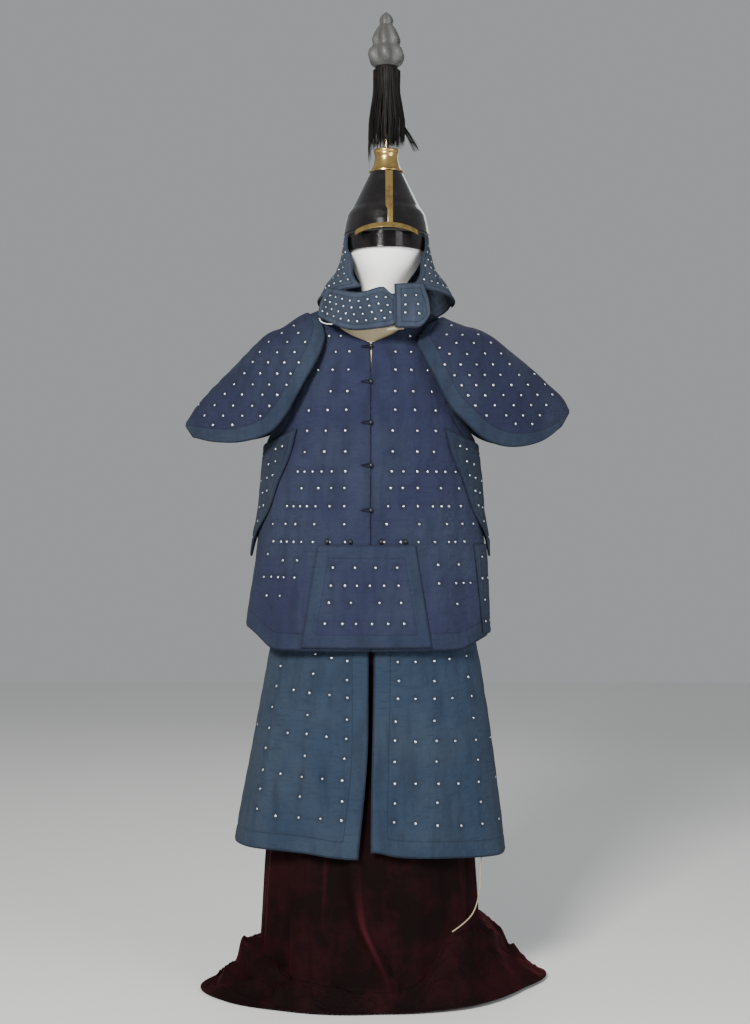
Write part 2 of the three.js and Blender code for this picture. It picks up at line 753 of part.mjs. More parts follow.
// The torso keeps clear of the coat by its wall and a seam's gap where it carries it
function torsoRing(angle, v) {
  const z = mix(torsoBottom, 1602, v);
  const own = ringPoint(torsoRows, angle, z);
  const step = 0.5;
  const turn = 0.004;
  const round = ringPoint(coatRows, angle + turn, z).sub(ringPoint(coatRows, angle - turn, z));
  const up = ringPoint(coatRows, angle, z + step).sub(ringPoint(coatRows, angle, z - step));
  const inside = ringPoint(coatRows, angle, z);
  inside.addScaledVector(round.cross(up).normalize(), -coatCloth - 4 * seamGap);
  return own.lerp(inside, soft(z, 1400, 1490));
}

function ovalRing(rows, angle, v) {
  const z = mix(rows[0].z, rows[rows.length - 1].z, v);
  const x = along(rows, 'z', z, 'x') + Math.sin(angle) * along(rows, 'z', z, 'wide');
  return new THREE.Vector3(x, -Math.cos(angle) * along(rows, 'z', z, 'deep'), z);
}

function addStand() {
  addPiece('stand_drum', filled(drumRing, 32, velvetLevels + 1), board);
  addPiece('stand_drape', ringOfSections(velvetSection, 64, 2 * velvetLevels + 2), velvet);
  addPiece('drape_heap', ringOfSections(heapSection, 64, heapLevels + 3), velvet);
  const torso = filled(torsoRing, 28, 11);
  const neck = filled((angle, v) => ovalRing(neckRows, angle, v), 20, 2);
  addPiece('stand_torso', joined(torso, [neck]), canvas);
  addPiece('stand_head', filled((angle, v) => ovalRing(headRows, angle, v), 26, 10), whiteForm);
}

// The helmet

function bowlRadius(z) {
  let row = 0;
  while (row < bowlRows.length - 2 && z > bowlRows[row + 1].z) {
    row += 1;
  }
  const from = bowlRows[row];
  const to = bowlRows[row + 1];
  return mix(from.radius, to.radius, (z - from.z) / (to.z - from.z));
}

function bowlPoint(angle, z, lift) {
  const radius = bowlRadius(z) + lift;
  return new THREE.Vector3(
    helmetX + Math.sin(angle) * radius, -Math.cos(angle) * radius * helmetLong, z);
}

function bowlProfile() {
  const outer = bowlRows.map((row) => [row.radius, row.z]);
  const inner = bowlRows.map((row) => [row.radius - bowlWall, Math.min(row.z, bowlTop - bowlWall)]);
  return [[0, bowlTop - bowlWall], ...inner.reverse(), ...outer, [0, bowlTop]];
}

const strapHalf = 10.5;
const strapLevels = [1796, 1814, 1822, 1834, 1875, 1915];
function strap(middle) {
  const last = strapLevels.length - 1;
  return (u, v) => {
    const level = clamp(Math.floor(v * last), 0, last - 1);
    const z = mix(strapLevels[level], strapLevels[level + 1], v * last - level);
    const angle = middle + mix(-strapHalf, strapHalf, u) / bowlRadius(z);
    return bowlPoint(angle, z, 0);
  };
}

// The brow: a narrow plate round the front of the rim, a little lower at its ends
const browHalf = 46 * degree;
const browWidth = 9;
const browThick = 6;
const browHeight = 1774.5;
function addBrow() {
  const plate = (u, v) => {
    const angle = mix(-browHalf, browHalf, u);
    const point = bowlPoint(angle, 1776, 1.8 + browWidth * v * Math.cos(angle * 1.7));
    return point.setZ(browHeight - 13 * (angle / browHalf) ** 2);
  };
  addPiece('helmet_brow', wall(plate, 12, 1, -browThick / 2, browThick / 2), brass);
}

function addHelmet() {
  addPiece('helmet_bowl', turned(bowlProfile(), 32, helmetX, helmetLong), blackLacquer);
  const band = [
    [90.5, bandBottom], [93.4, bandBottom], [92.4, 1750], [93.4, 1752], [92.4, 1759], [93.4, 1761],
    [93.4, 1768], [96.9, 1771.5], [95.3, 1780], [90.5, 1772], [90.5, bandBottom],
  ];
  addPiece('helmet_band', turned(band, 32, helmetX, helmetLong), blackLacquer);
  addPiece('helmet_front_strip', wall(strap(0), 2, 5, 0.9, 2.7), brass);
  addPiece('helmet_back_strip', wall(strap(Math.PI), 2, 5, 0.9, 2.7), brass);
  addBrow();
  const socketFoot = bowlTop + 0.3;
  const socket = [
    [0, socketFoot], [41, socketFoot], [41, 1921], [36, 1925], [28.5, 1944], [27, 1957],
    [30, 1967], [29, socketTop], [0, socketTop],
  ];
  addPiece('helmet_socket', turned(socket, 20, helmetX, 1), brass);
}

// The plume: locks of hair that hang from a bound head round a rod, under a lobed finial

const lockCount = 24;
const innerLockCount = 10;
function lock(angle, ring, length, thick) {
  const rows = [
    { v: 0, out: ring * 0.8, z: plumeHeadBottom + 14 },
    { v: 0.35, out: ring * 1.12, z: plumeHeadBottom - 0.2 * length },
    { v: 0.7, out: ring * 1.22, z: plumeHeadBottom - 0.62 * length },
    { v: 1, out: ring * 1.14, z: plumeHeadBottom - length },
  ];
  const ringAt = (turn, v) => {
    const out = along(rows, 'v', 1 - v, 'out');
    const z = along(rows, 'v', 1 - v, 'z');
    const radius = thick * mix(0.45, 1, soft(v, 0, 0.5));
    const middle = new THREE.Vector3(Math.sin(angle) * out, -Math.cos(angle) * out, z);
    return middle.add(new THREE.Vector3(Math.sin(turn) * radius, -Math.cos(turn) * radius, 0));
  };
  const strand = filled(ringAt, 3, 3);
  return strand.translate(helmetX, 0, 0);
}

function addPlume() {
  const rod = new THREE.CylinderGeometry(3.2, 3.2, plumeHeadBottom - socketTop - 1, 12);
  rod.rotateX(Math.PI / 2);
  rod.translate(helmetX, 0, (plumeHeadBottom + socketTop) / 2);
  addPiece('plume_rod', rod, brass);
  const head = turned([
    [0, plumeHeadBottom], [27, plumeHeadBottom], [32, 2120], [32, 2145], [27, 2165.6],
    [0, 2165.6],
  ], 18, helmetX, 1);
  const locks = [];
  for (let i = 0; i < lockCount; i += 1) {
    const uneven = Math.sin(i * 2.4) * 12 + Math.sin(i * 5.1) * 9;
    locks.push(lock((i / lockCount) * 2 * Math.PI, 33, 138 + uneven, 3.9));
  }
  for (let i = 0; i < innerLockCount; i += 1) {
    locks.push(lock(((i + 0.5) / innerLockCount) * 2 * Math.PI, 19, 112 + 6 * Math.sin(i * 3), 4.4));
  }
  addPiece('plume', joined(head, locks), blackHair);
}

const finialRows = [
  { z: 2166, radius: 27, lobe: 0.02 },
  { z: 2180, radius: 33, lobe: 0.1 },
  { z: 2196, radius: 40, lobe: 0.16 },
  { z: 2220, radius: 35, lobe: 0.14 },
  { z: 2243, radius: 27, lobe: 0.16 },
  { z: 2270, radius: 16, lobe: 0.12 },
  { z: 2295, radius: 2.5, lobe: 0.02 },
];
const finialLobes = 6;
function addFinial() {
  const ringAt = (angle, v) => {
    const z = mix(finialBottom, 2295, v);
    const lobe = 1 + along(finialRows, 'z', z, 'lobe') * Math.cos(finialLobes * angle + 0.02 * (z - 2166));
    const radius = along(finialRows, 'z', z, 'radius') * lobe;
    return new THREE.Vector3(helmetX + Math.sin(angle) * radius, -Math.cos(angle) * radius, z);
  };
  addPiece('finial', filled(ringAt, 30, 8), paleHorn);
}

// The collar pieces that hang from the helmet

function collarPoint(angle, z) {
  const side = along(collarRows, 'z', z, 'side');
  const depth = along(collarRows, 'z', z, Math.cos(angle) > 0 ? 'front' : 'back');
  return new THREE.Vector3(helmetX + Math.sin(angle) * side, -Math.cos(angle) * depth, z);
}

const cheekBack = 108;
function cheekGuard(side) {
  return (u, v) => {
    const fromFront = side > 0 ? u : 1 - u;
    const angle = mix(along(cheekFront, 'v', v, 'angle'), cheekBack, fromFront);
    const z = mix(mix(1634, 1608, fromFront), collarTop, v);
    return collarPoint(side * angle * degree, z);
  };
}

const napeFrom = 109;
function napeGuard(u, v) {
  const angle = mix(napeFrom, 360 - napeFrom, u);
  const middle = Math.sin(u * Math.PI);
  return collarPoint(angle * degree, mix(mix(1612, 1572, middle), collarTop, v));
}

function throatGuard(u, v) {
  const angle = mix(throatRows[0].angle, throatRows[throatRows.length - 1].angle, u);
  const bottom = along(throatRows, 'angle', angle, 'bottom');
  const top = along(throatRows, 'angle', angle, 'top');
  return collarPoint(angle * degree, mix(bottom, top, v));
}

// The tab laps over the throat guard's end, with its lower outer corner cut round
function throatTab(u, v) {
  const angle = mix(6, 32.5, u);
  const bottom = 1536 + 34 * Math.max(0, u - 0.55) ** 2 * 4.9;
  return collarPoint(angle * degree, mix(bottom, mix(1634, 1640, u), v));
}

const throatLift = seamGap;
const tabLift = throatLift + collarCloth + 2 * seamGap;
function addCollar() {
  const rightCheek = cheekGuard(-1);
  const leftCheek = cheekGuard(1);
  const cheekWall = (surface) => wall(surface, 9, 6, -collarCloth, 0);
  addPiece('cheek_guard_right', cheekWall(rightCheek), collarBlue);
  addPiece('cheek_guard_left', cheekWall(leftCheek), collarBlue);
  addPiece('nape_guard', wall(napeGuard, 14, 6, -collarCloth, 0), collarBlue);
  const throat = wall(throatGuard, 10, 2, throatLift, throatLift + collarCloth);
  addPiece('throat_guard', throat, collarBlue);
  addPiece('throat_tab', wall(throatTab, 6, 3, tabLift, tabLift + collarCloth), collarBlue);
}

addStand();
addSkirt();
addWaistband();
addTie();
addCoat();
addCoatButtons();
addFlaps();
addFlapButtons();
addArmpitGuards();
addShoulderGuards();
addHelmet();
addCollar();
addPlume();
addFinial();

export default armour;
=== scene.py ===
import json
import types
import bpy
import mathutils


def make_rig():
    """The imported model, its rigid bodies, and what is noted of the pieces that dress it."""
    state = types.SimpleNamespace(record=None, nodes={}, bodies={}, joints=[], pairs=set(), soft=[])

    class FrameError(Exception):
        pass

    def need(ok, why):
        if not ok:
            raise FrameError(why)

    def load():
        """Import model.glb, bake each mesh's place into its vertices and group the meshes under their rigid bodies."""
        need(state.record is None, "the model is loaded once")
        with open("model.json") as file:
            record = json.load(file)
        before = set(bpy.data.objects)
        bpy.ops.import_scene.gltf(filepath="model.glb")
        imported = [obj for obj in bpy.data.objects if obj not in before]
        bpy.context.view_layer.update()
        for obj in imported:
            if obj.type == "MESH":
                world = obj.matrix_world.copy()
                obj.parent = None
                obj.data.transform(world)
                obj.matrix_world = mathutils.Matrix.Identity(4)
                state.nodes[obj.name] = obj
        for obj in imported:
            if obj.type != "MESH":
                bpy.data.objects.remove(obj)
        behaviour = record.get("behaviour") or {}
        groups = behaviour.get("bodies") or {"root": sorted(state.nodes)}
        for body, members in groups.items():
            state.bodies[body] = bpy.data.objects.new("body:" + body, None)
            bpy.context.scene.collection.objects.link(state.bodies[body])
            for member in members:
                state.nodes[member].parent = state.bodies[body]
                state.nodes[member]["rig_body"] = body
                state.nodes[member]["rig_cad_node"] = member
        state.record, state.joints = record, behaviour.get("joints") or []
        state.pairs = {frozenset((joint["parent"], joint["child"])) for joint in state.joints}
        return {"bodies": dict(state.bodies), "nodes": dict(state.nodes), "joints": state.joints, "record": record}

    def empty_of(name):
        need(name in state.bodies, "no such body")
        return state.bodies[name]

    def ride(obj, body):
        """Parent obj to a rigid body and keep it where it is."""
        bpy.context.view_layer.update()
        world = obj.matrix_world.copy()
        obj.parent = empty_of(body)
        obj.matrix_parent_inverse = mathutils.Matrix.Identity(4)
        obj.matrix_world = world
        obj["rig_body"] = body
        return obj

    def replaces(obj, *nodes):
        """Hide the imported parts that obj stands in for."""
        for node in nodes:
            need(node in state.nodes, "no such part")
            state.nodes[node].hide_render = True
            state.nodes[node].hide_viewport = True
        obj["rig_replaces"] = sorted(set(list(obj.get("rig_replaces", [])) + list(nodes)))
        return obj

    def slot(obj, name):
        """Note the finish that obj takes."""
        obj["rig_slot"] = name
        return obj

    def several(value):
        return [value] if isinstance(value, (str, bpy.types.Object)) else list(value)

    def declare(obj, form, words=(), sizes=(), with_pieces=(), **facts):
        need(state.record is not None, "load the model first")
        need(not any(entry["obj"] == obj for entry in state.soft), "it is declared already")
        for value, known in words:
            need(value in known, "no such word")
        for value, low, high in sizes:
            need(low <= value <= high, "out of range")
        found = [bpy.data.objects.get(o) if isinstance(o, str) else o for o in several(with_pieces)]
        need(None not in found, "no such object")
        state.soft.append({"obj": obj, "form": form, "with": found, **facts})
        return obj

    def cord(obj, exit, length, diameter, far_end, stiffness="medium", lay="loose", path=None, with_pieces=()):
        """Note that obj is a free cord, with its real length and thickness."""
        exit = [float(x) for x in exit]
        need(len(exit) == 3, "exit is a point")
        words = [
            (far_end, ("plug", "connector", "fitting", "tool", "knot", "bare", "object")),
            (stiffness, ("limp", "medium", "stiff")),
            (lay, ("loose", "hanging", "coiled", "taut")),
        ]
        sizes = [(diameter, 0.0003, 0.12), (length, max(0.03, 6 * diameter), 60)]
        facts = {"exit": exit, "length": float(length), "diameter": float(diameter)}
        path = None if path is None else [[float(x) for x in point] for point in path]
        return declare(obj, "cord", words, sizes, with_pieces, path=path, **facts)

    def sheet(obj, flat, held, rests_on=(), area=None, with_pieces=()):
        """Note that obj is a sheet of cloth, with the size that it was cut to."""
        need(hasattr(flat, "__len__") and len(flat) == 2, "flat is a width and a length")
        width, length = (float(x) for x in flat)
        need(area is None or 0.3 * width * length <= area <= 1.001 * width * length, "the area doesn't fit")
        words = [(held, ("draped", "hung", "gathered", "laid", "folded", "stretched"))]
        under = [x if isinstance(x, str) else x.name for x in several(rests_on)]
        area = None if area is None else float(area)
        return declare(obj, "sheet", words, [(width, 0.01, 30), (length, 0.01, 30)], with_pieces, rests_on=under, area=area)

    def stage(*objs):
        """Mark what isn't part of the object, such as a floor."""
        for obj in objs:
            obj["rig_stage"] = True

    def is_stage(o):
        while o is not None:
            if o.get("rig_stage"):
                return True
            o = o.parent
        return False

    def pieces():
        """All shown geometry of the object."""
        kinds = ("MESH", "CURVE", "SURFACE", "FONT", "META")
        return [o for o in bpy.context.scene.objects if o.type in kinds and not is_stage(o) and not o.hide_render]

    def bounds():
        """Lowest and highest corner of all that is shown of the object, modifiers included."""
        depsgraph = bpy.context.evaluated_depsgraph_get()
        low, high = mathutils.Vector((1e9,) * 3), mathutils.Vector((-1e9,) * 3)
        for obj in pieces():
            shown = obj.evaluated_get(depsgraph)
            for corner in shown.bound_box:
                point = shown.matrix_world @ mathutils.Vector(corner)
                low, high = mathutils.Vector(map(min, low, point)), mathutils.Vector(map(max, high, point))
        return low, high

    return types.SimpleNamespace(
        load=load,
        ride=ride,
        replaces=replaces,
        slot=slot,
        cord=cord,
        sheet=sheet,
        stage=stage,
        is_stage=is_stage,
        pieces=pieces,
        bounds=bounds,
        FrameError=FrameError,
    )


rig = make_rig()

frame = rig.load()

import json
import math
import random

import bpy
from mathutils import Vector

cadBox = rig.bounds()
random.seed(1759)
degree = math.pi / 180
quarter = math.pi / 2
bellEnd = 2.4
mm = 0.001

# The armour stands 3.9 m from a camera at waist height, as in the photo
view = {"distance": 3.9, "height": 1.12, "side": 0.0094, "lens": 58.3}


def clamp(value, low, high):
    return max(low, min(high, value))


def mix(a, b, t):
    return a + (b - a) * t


def soft(value, low, high):
    t = clamp((value - low) / (high - low), 0, 1)
    return t * t * (3 - 2 * t)


# 1 at the middle, and next to nothing from bellEnd widths away
def bell(value, middle, width):
    return math.exp(-(((value - middle) / width) ** 2))


# A table: its columns' names, then its rows
def rowsOf(names, *rows):
    return [dict(zip(names.split(), row)) for row in rows]


# Reads one named column of a table, smoothly between its rows
def along(table, place, at, name):
    last = len(table) - 1
    row = 0
    while row < last - 1 and at > table[row + 1][place]:
        row += 1
    def slope(i):
        low = table[max(i - 1, 0)]
        high = table[min(i + 1, last)]
        return (high[name] - low[name]) / (high[place] - low[place])
    start = table[row]
    end = table[row + 1]
    span = end[place] - start[place]
    t = clamp((at - start[place]) / span, 0, 1)
    value = (2 * t**3 - 3 * t**2 + 1) * start[name] + (t**3 - 2 * t**2 + t) * span * slope(row)
    return value + (3 * t**2 - 2 * t**3) * end[name] + (t**3 - t**2) * span * slope(row + 1)


def newObject(name, data):
    piece = bpy.data.objects.new(name, data)
    bpy.context.collection.objects.link(piece)
    return piece


def selectOnly(*pieces):
    bpy.ops.object.select_all(action="DESELECT")
    for piece in pieces:
        piece.select_set(True)
    bpy.context.view_layer.objects.active = pieces[0]


def editStart(piece):
    selectOnly(piece)
    bpy.ops.object.mode_set(mode="EDIT")


def editEnd(angle=40):
    bpy.ops.object.mode_set(mode="EDIT")
    bpy.ops.mesh.select_all(action="SELECT")
    bpy.ops.mesh.normals_make_consistent(inside=False)
    bpy.ops.object.mode_set(mode="OBJECT")
    bpy.ops.object.transform_apply(location=True, rotation=True, scale=True)
    bpy.ops.object.shade_smooth_by_angle(angle=angle * degree)


def finishPiece(piece, material, slotName, *nodes):
    piece.data.materials.append(material)
    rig.ride(piece, "root")
    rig.slot(piece, slotName)
    if nodes:
        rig.replaces(piece, *nodes)
    return piece


# Materials. A node's inputs are given as values or as other nodes' outputs

def addNode(tree, kind, inputs, **settings):
    node = tree.nodes.new("ShaderNode" + kind)
    count = len(tree.nodes)
    node.location = (200 * (count % 10), -260 * (count // 10))
    for key, value in settings.items():
        setattr(node, key, value)
    feed(tree, node, inputs)
    return node


def feed(tree, node, inputs):
    for name, value in inputs.items():
        socket = node.inputs[name]
        if isinstance(value, bpy.types.NodeSocket):
            tree.links.new(value, socket)
        else:
            socket.default_value = (*value, 1) if socket.type == "RGBA" else value


def mathNode(tree, operation, *values):
    return addNode(tree, "Math", dict(enumerate(values)), operation=operation).outputs[0]


def noiseNode(tree, vector, scale, detail, roughness=0.55):
    inputs = {"Vector": vector, "Scale": scale, "Detail": detail, "Roughness": roughness}
    return addNode(tree, "TexNoise", inputs).outputs["Fac"]


def rampNode(tree, factor, low, high):
    inputs = {"Value": factor, "From Min": low, "From Max": high}
    return addNode(tree, "MapRange", inputs, interpolation_type="SMOOTHSTEP").outputs["Result"]


def mixColour(tree, factor, first, second):
    return addNode(tree, "Mix", {0: factor, 6: first, 7: second}, data_type="RGBA").outputs[2]


def bumpNode(tree, height, strength, distance, **under):
    inputs = {"Height": height, "Strength": strength, "Distance": distance, **under}
    return addNode(tree, "Bump", inputs).outputs["Normal"]


def attributeNode(tree, name):
    return addNode(tree, "Attribute", {}, attribute_name=name).outputs["Fac"]


def newMaterial(name, values):
    material = bpy.data.materials.new(name)
    material.use_nodes = True
    tree = material.node_tree
    shader = tree.nodes["Principled BSDF"]
    feed(tree, shader, values)
    return material, tree, shader


def newGroup(name, inputs, outputs):
    group = bpy.data.node_groups.new(name, "ShaderNodeTree")
    for way, sockets in (("INPUT", inputs), ("OUTPUT", outputs)):
        for socket, kind in sockets.items():
            group.interface.new_socket(socket, in_out=way, socket_type="NodeSocket" + kind)
    return group, group.nodes.new("NodeGroupInput").outputs, group.nodes.new("NodeGroupOutput")


# Fading, faint streaks down the cloth, slubs across it and small stains, on a colour
def makeFading():
    inputs = {"Place": "Vector", "Colour": "Color", "Amount": "Float"}
    group, given, result = newGroup("fading", inputs, {"Colour": "Color", "Stain": "Float"})
    place = given["Place"]
    def stretched(scale):
        return addNode(group, "Mapping", {"Vector": place, "Scale": scale}).outputs["Vector"]
    broad = rampNode(group, noiseNode(group, place, 5.5, 4), 0.36, 0.68)
    streak = rampNode(group, noiseNode(group, stretched((1, 1, 0.16)), 38, 3), 0.4, 0.7)
    slub = rampNode(group, noiseNode(group, stretched((0.12, 0.12, 1)), 210, 3, 0.6), 0.45, 0.75)
    stain = rampNode(group, noiseNode(group, place, 75, 4, 0.7), 0.6, 0.78)
    lighter = mixColour(group, 0.42, given["Colour"], (0.044, 0.062, 0.082))
    worn = mathNode(group, "MULTIPLY", broad, given["Amount"])
    colour = mixColour(group, worn, given["Colour"], lighter)
    dark = mathNode(group, "MULTIPLY", mathNode(group, "MAXIMUM", streak, slub), 0.3)
    colour = mixColour(group, dark, colour, (0.006, 0.008, 0.016))
    spotted = mathNode(group, "MULTIPLY", stain, 0.35)
    colour = mixColour(group, spotted, colour, (0.009, 0.009, 0.014))
    feed(group, result, {"Colour": colour, "Stain": stain})
    return group


# The height of a plain weave with slubs, from a place on the cloth in metres
def makeWeave():
    group, given, result = newGroup("weave", {"Place": "Vector"}, {"Height": "Float"})
    inputs = {"Vector": given["Place"], "Scale": 260, "Distortion": 1.2, "Detail Scale": 2}
    warp, weft = [addNode(group, "TexWave", inputs, bands_direction=way).outputs["Fac"] for way in "XY"]
    slub = noiseNode(group, given["Place"], 420, 3)
    height = mathNode(group, "ADD", mathNode(group, "MAXIMUM", warp, weft), slub)
    feed(group, result, {"Height": height})
    return group


fadingGroup = makeFading()
weaveGroup = makeWeave()


# cotton: field and border colours, border width, a dark seam line and painted shade along the bordered edges
def makeCotton(name, cotton):
    values = {"Sheen Weight": 0.02, "Sheen Roughness": 0.5, "Specular IOR Level": 0.12}
    material, tree, shader = newMaterial(name, values)
    border = cotton["border"]
    place = addNode(tree, "TexCoord", {}).outputs["Object"]
    cloth = addNode(tree, "UVMap", {}, uv_map="cloth").outputs["UV"]
    rim = attributeNode(tree, "rim")
    inside = rampNode(tree, rim, border - 0.0006, border + 0.0006)
    colour = mixColour(tree, inside, cotton["edge"], cotton["field"])
    inputs = {"Amount": cotton.get("faded", 0.6), "Place": place, "Colour": colour}
    fading = addNode(tree, "Group", inputs, node_tree=fadingGroup)
    # A dark seam line where the border meets the field, and painted shade in a narrow band along the bordered rims
    seam = mathNode(tree, "ABSOLUTE", mathNode(tree, "SUBTRACT", rim, border))
    seam = rampNode(tree, seam, 0.0018, 0.0004)
    seamLineAndEdgeShade = mathNode(tree, "MAXIMUM", seam, rampNode(tree, rim, 0.0052, 0.0034))
    dark = mathNode(tree, "MULTIPLY", seamLineAndEdgeShade, cotton.get("piped", 0.4))
    # Painted shade round each stud: the colour darkens with the nearness to the studs
    pucker = mathNode(tree, "MULTIPLY", attributeNode(tree, "pucker"), 0.42)
    dark = mathNode(tree, "MAXIMUM", dark, pucker)
    colour = mixColour(tree, dark, fading.outputs["Colour"], (0.004, 0.005, 0.010))
    rough = mathNode(tree, "MULTIPLY_ADD", fading.outputs["Stain"], -0.12, 0.86)
    weave = addNode(tree, "Group", {"Place": cloth}, node_tree=weaveGroup)
    crumple = noiseNode(tree, place, 17, 7, 0.62)
    fine = bumpNode(tree, weave.outputs["Height"], 0.6, 0.0005)
    broad = bumpNode(tree, crumple, cotton.get("crumple", 0.7), 0.02, Normal=fine)
    feed(tree, shader, {"Base Color": colour, "Roughness": rough, "Normal": broad})
    return material


# finish: colour, a second colour for grime and its share, roughness, bump, and what it has of
# metal, clear coat, sheen and gloss
def makeHard(name, finish):
    material, tree, shader = newMaterial(name, {
        "Metallic": finish.get("metallic", 0),
        "Coat Weight": finish.get("coat", 0),
        "Coat Roughness": 0.08,
        "Sheen Weight": finish.get("sheen", 0),
        "Specular IOR Level": finish.get("gloss", 0.5),
    })
    place = addNode(tree, "TexCoord", {}).outputs["Object"]
    grime = rampNode(tree, noiseNode(tree, place, finish.get("scale", 30), 5, 0.6), 0.42, 0.72)
    share = mathNode(tree, "MULTIPLY", grime, finish.get("grimy", 0.5))
    colour = mixColour(tree, share, finish["colour"], finish["grime"])
    rough = mathNode(tree, "MULTIPLY_ADD", grime, 0.15, finish["roughness"])
    grain = noiseNode(tree, place, finish.get("grain", 300), 4)
    bump = bumpNode(tree, grain, finish.get("bump", 0.2), finish.get("depth", 0.0005))
    feed(tree, shader, {"Base Color": colour, "Roughness": rough, "Normal": bump})
    return material


def makeVelvet():
    material, tree, shader = newMaterial("velvet", {
        "Roughness": 0.75,
        "Specular IOR Level": 0.04,
        "Sheen Weight": 0.16,
        "Sheen Roughness": 0.35,
        "Sheen Tint": (0.45, 0.04, 0.07),
    })
    place = addNode(tree, "TexCoord", {}).outputs["Object"]
    nap = rampNode(tree, noiseNode(tree, place, 9, 6, 0.65), 0.42, 0.66)
    colour = mixColour(tree, nap, (0.0050, 0.0021, 0.0023), (0.0135, 0.0030, 0.0038))
    # Painted sheen highlight: lighter crimson along the front creases
    colour = mixColour(tree, attributeNode(tree, "ridge"), colour, (0.036, 0.0065, 0.0095))
    pile = bumpNode(tree, noiseNode(tree, place, 1500, 3), 0.5, 0.0006)
    rubbed = bumpNode(tree, noiseNode(tree, place, 32, 5, 0.6), 0.35, 0.008, Normal=pile)
    feed(tree, shader, {"Base Color": colour, "Normal": rubbed})
    return material


indigo = (0.019, 0.022, 0.052)
wornIndigo = (0.019, 0.025, 0.051)
greyBlue = (0.0185, 0.0262, 0.048)
guardIndigo = (0.0155, 0.018, 0.043)
skirtBlue = (0.0205, 0.0340, 0.060)
collarBlue = (0.040, 0.053, 0.079)
armpitBlue = (0.0185, 0.026, 0.044)
navyBlack = (0.004, 0.005, 0.010)

coatCotton = makeCotton("indigoCloth", {"border": 0.040, "edge": wornIndigo, "field": indigo})
guardCotton = makeCotton(
    "guardCloth", {"border": 0.036, "edge": greyBlue, "field": guardIndigo, "crumple": 0.5})
skirtCotton = makeCotton(
    "greyBlueCloth", {"border": 0.038, "edge": skirtBlue, "field": skirtBlue, "faded": 0.8})
armpitCotton = makeCotton("armpitCloth", {"border": 0.016, "edge": greyBlue, "field": armpitBlue})
flapCotton = makeCotton(
    "flapCloth", {"border": 0.03, "edge": wornIndigo, "field": indigo, "piped": 0.25})
loopCotton = makeCotton(
    "loopCloth", {"border": 0.001, "edge": navyBlack, "field": navyBlack, "piped": 0})
collarCotton = makeCotton(
    "collarCloth", {"border": 0.014, "edge": collarBlue, "field": collarBlue, "piped": 0.5})

studMetal = makeHard("studMetal", {
    "colour": (0.66, 0.68, 0.74), "grime": (0.2, 0.21, 0.24), "metallic": 0.9, "roughness": 0.26,
    "grimy": 0.7, "scale": 60,
})
brassMetal = makeHard("brass", {
    "colour": (0.62, 0.43, 0.15), "grime": (0.2, 0.13, 0.06), "metallic": 0.95, "roughness": 0.2,
    "grimy": 0.75, "scale": 55,
})
bronzeMetal = makeHard("darkBronze", {
    "colour": (0.05, 0.045, 0.045), "grime": (0.015, 0.014, 0.02), "metallic": 0.75,
    "roughness": 0.34,
})
lacquer = makeHard("blackLacquer", {
    "colour": (0.004, 0.0035, 0.004), "grime": (0.014, 0.01, 0.009), "roughness": 0.13,
    "coat": 0.25, "grimy": 0.5, "scale": 24, "bump": 0.05, "gloss": 0.4,
})
horn = makeHard("finialHorn", {
    "colour": (0.060, 0.060, 0.058), "grime": (0.022, 0.022, 0.022), "roughness": 0.5, "scale": 60,
    "bump": 0.5, "depth": 0.002, "grain": 180,
})
hair = makeHard("plumeHair", {
    "colour": (0.004, 0.0035, 0.0035), "grime": (0.010, 0.007, 0.005), "roughness": 0.6,
    "gloss": 0.2, "grain": 700, "bump": 0.5,
})
formWhite = makeHard("whiteForm", {
    "colour": (0.98, 0.98, 0.97), "grime": (0.92, 0.91, 0.88), "roughness": 0.5, "grimy": 0.4,
    "scale": 14, "bump": 0.12,
})
canvasCloth = makeHard("canvasCloth", {
    "colour": (0.86, 0.72, 0.46), "grime": (0.68, 0.55, 0.33), "roughness": 0.88, "sheen": 0.1,
    "grain": 900, "bump": 0.5,
})
boardFace = makeHard("standBoard", {
    "colour": (0.05, 0.017, 0.02), "grime": (0.02, 0.01, 0.01), "roughness": 0.85,
})
beigeString = makeHard("beigeString", {
    "colour": (0.34, 0.29, 0.20), "grime": (0.18, 0.15, 0.10), "roughness": 0.85, "grain": 1600,
    "bump": 0.7,
})
whiteString = makeHard("whiteString", {
    "colour": (0.8, 0.8, 0.78), "grime": (0.6, 0.58, 0.52), "roughness": 0.8, "grain": 1600,
    "bump": 0.7,
})


def addCamera():
    data = bpy.data.cameras.new("camera")
    data.lens = view["lens"]
    data.sensor_width = 36
    data.sensor_fit = "AUTO"
    camera = newObject("camera", data)
    camera.location = (view["side"], -view["distance"], view["height"])
    camera.rotation_euler = (quarter, 0, 0)
    bpy.context.scene.camera = camera


def addLight(name, place, target, size, power, colour):
    data = bpy.data.lights.new(name, "AREA")
    data.shape = "RECTANGLE"
    data.size = size[0]
    data.size_y = size[1]
    data.energy = power
    data.color = colour
    light = newObject(name, data)
    light.location = place
    light.rotation_euler = (Vector(target) - Vector(place)).to_track_quat("-Z", "Y").to_euler()


def addStudio():
    world = bpy.data.worlds.new("studio")
    bpy.context.scene.world = world
    world.use_nodes = True
    tree = world.node_tree
    feed(tree, tree.nodes["Background"], {"Color": (0.86, 0.88, 0.9), "Strength": 0.4})
    addLight("keyLight", (-1.5, -4.2, 3.3), (0, 0, 1.3), (1.1, 1.3), 420, (1, 0.98, 0.95))
    addLight("fillLight", (3.0, -3.0, 1.4), (0, 0, 0.6), (2.2, 2.2), 95, (0.95, 0.97, 1))
    addLight("rearLight", (0.6, 3.2, 3.0), (0, 0, 1.3), (2.4, 1.6), 20, (1, 1, 1))
    bpy.ops.mesh.primitive_plane_add(size=14, location=(0, 0, -0.0005))
    floor = bpy.context.object
    floor.name = "studioFloor"
    paint = newMaterial("floorPaint", {"Base Color": (0.75, 0.75, 0.74), "Roughness": 0.7})[0]
    floor.data.materials.append(paint)
    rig.stage(floor)


# Tables in millimetres and degrees, the same as the solids' own

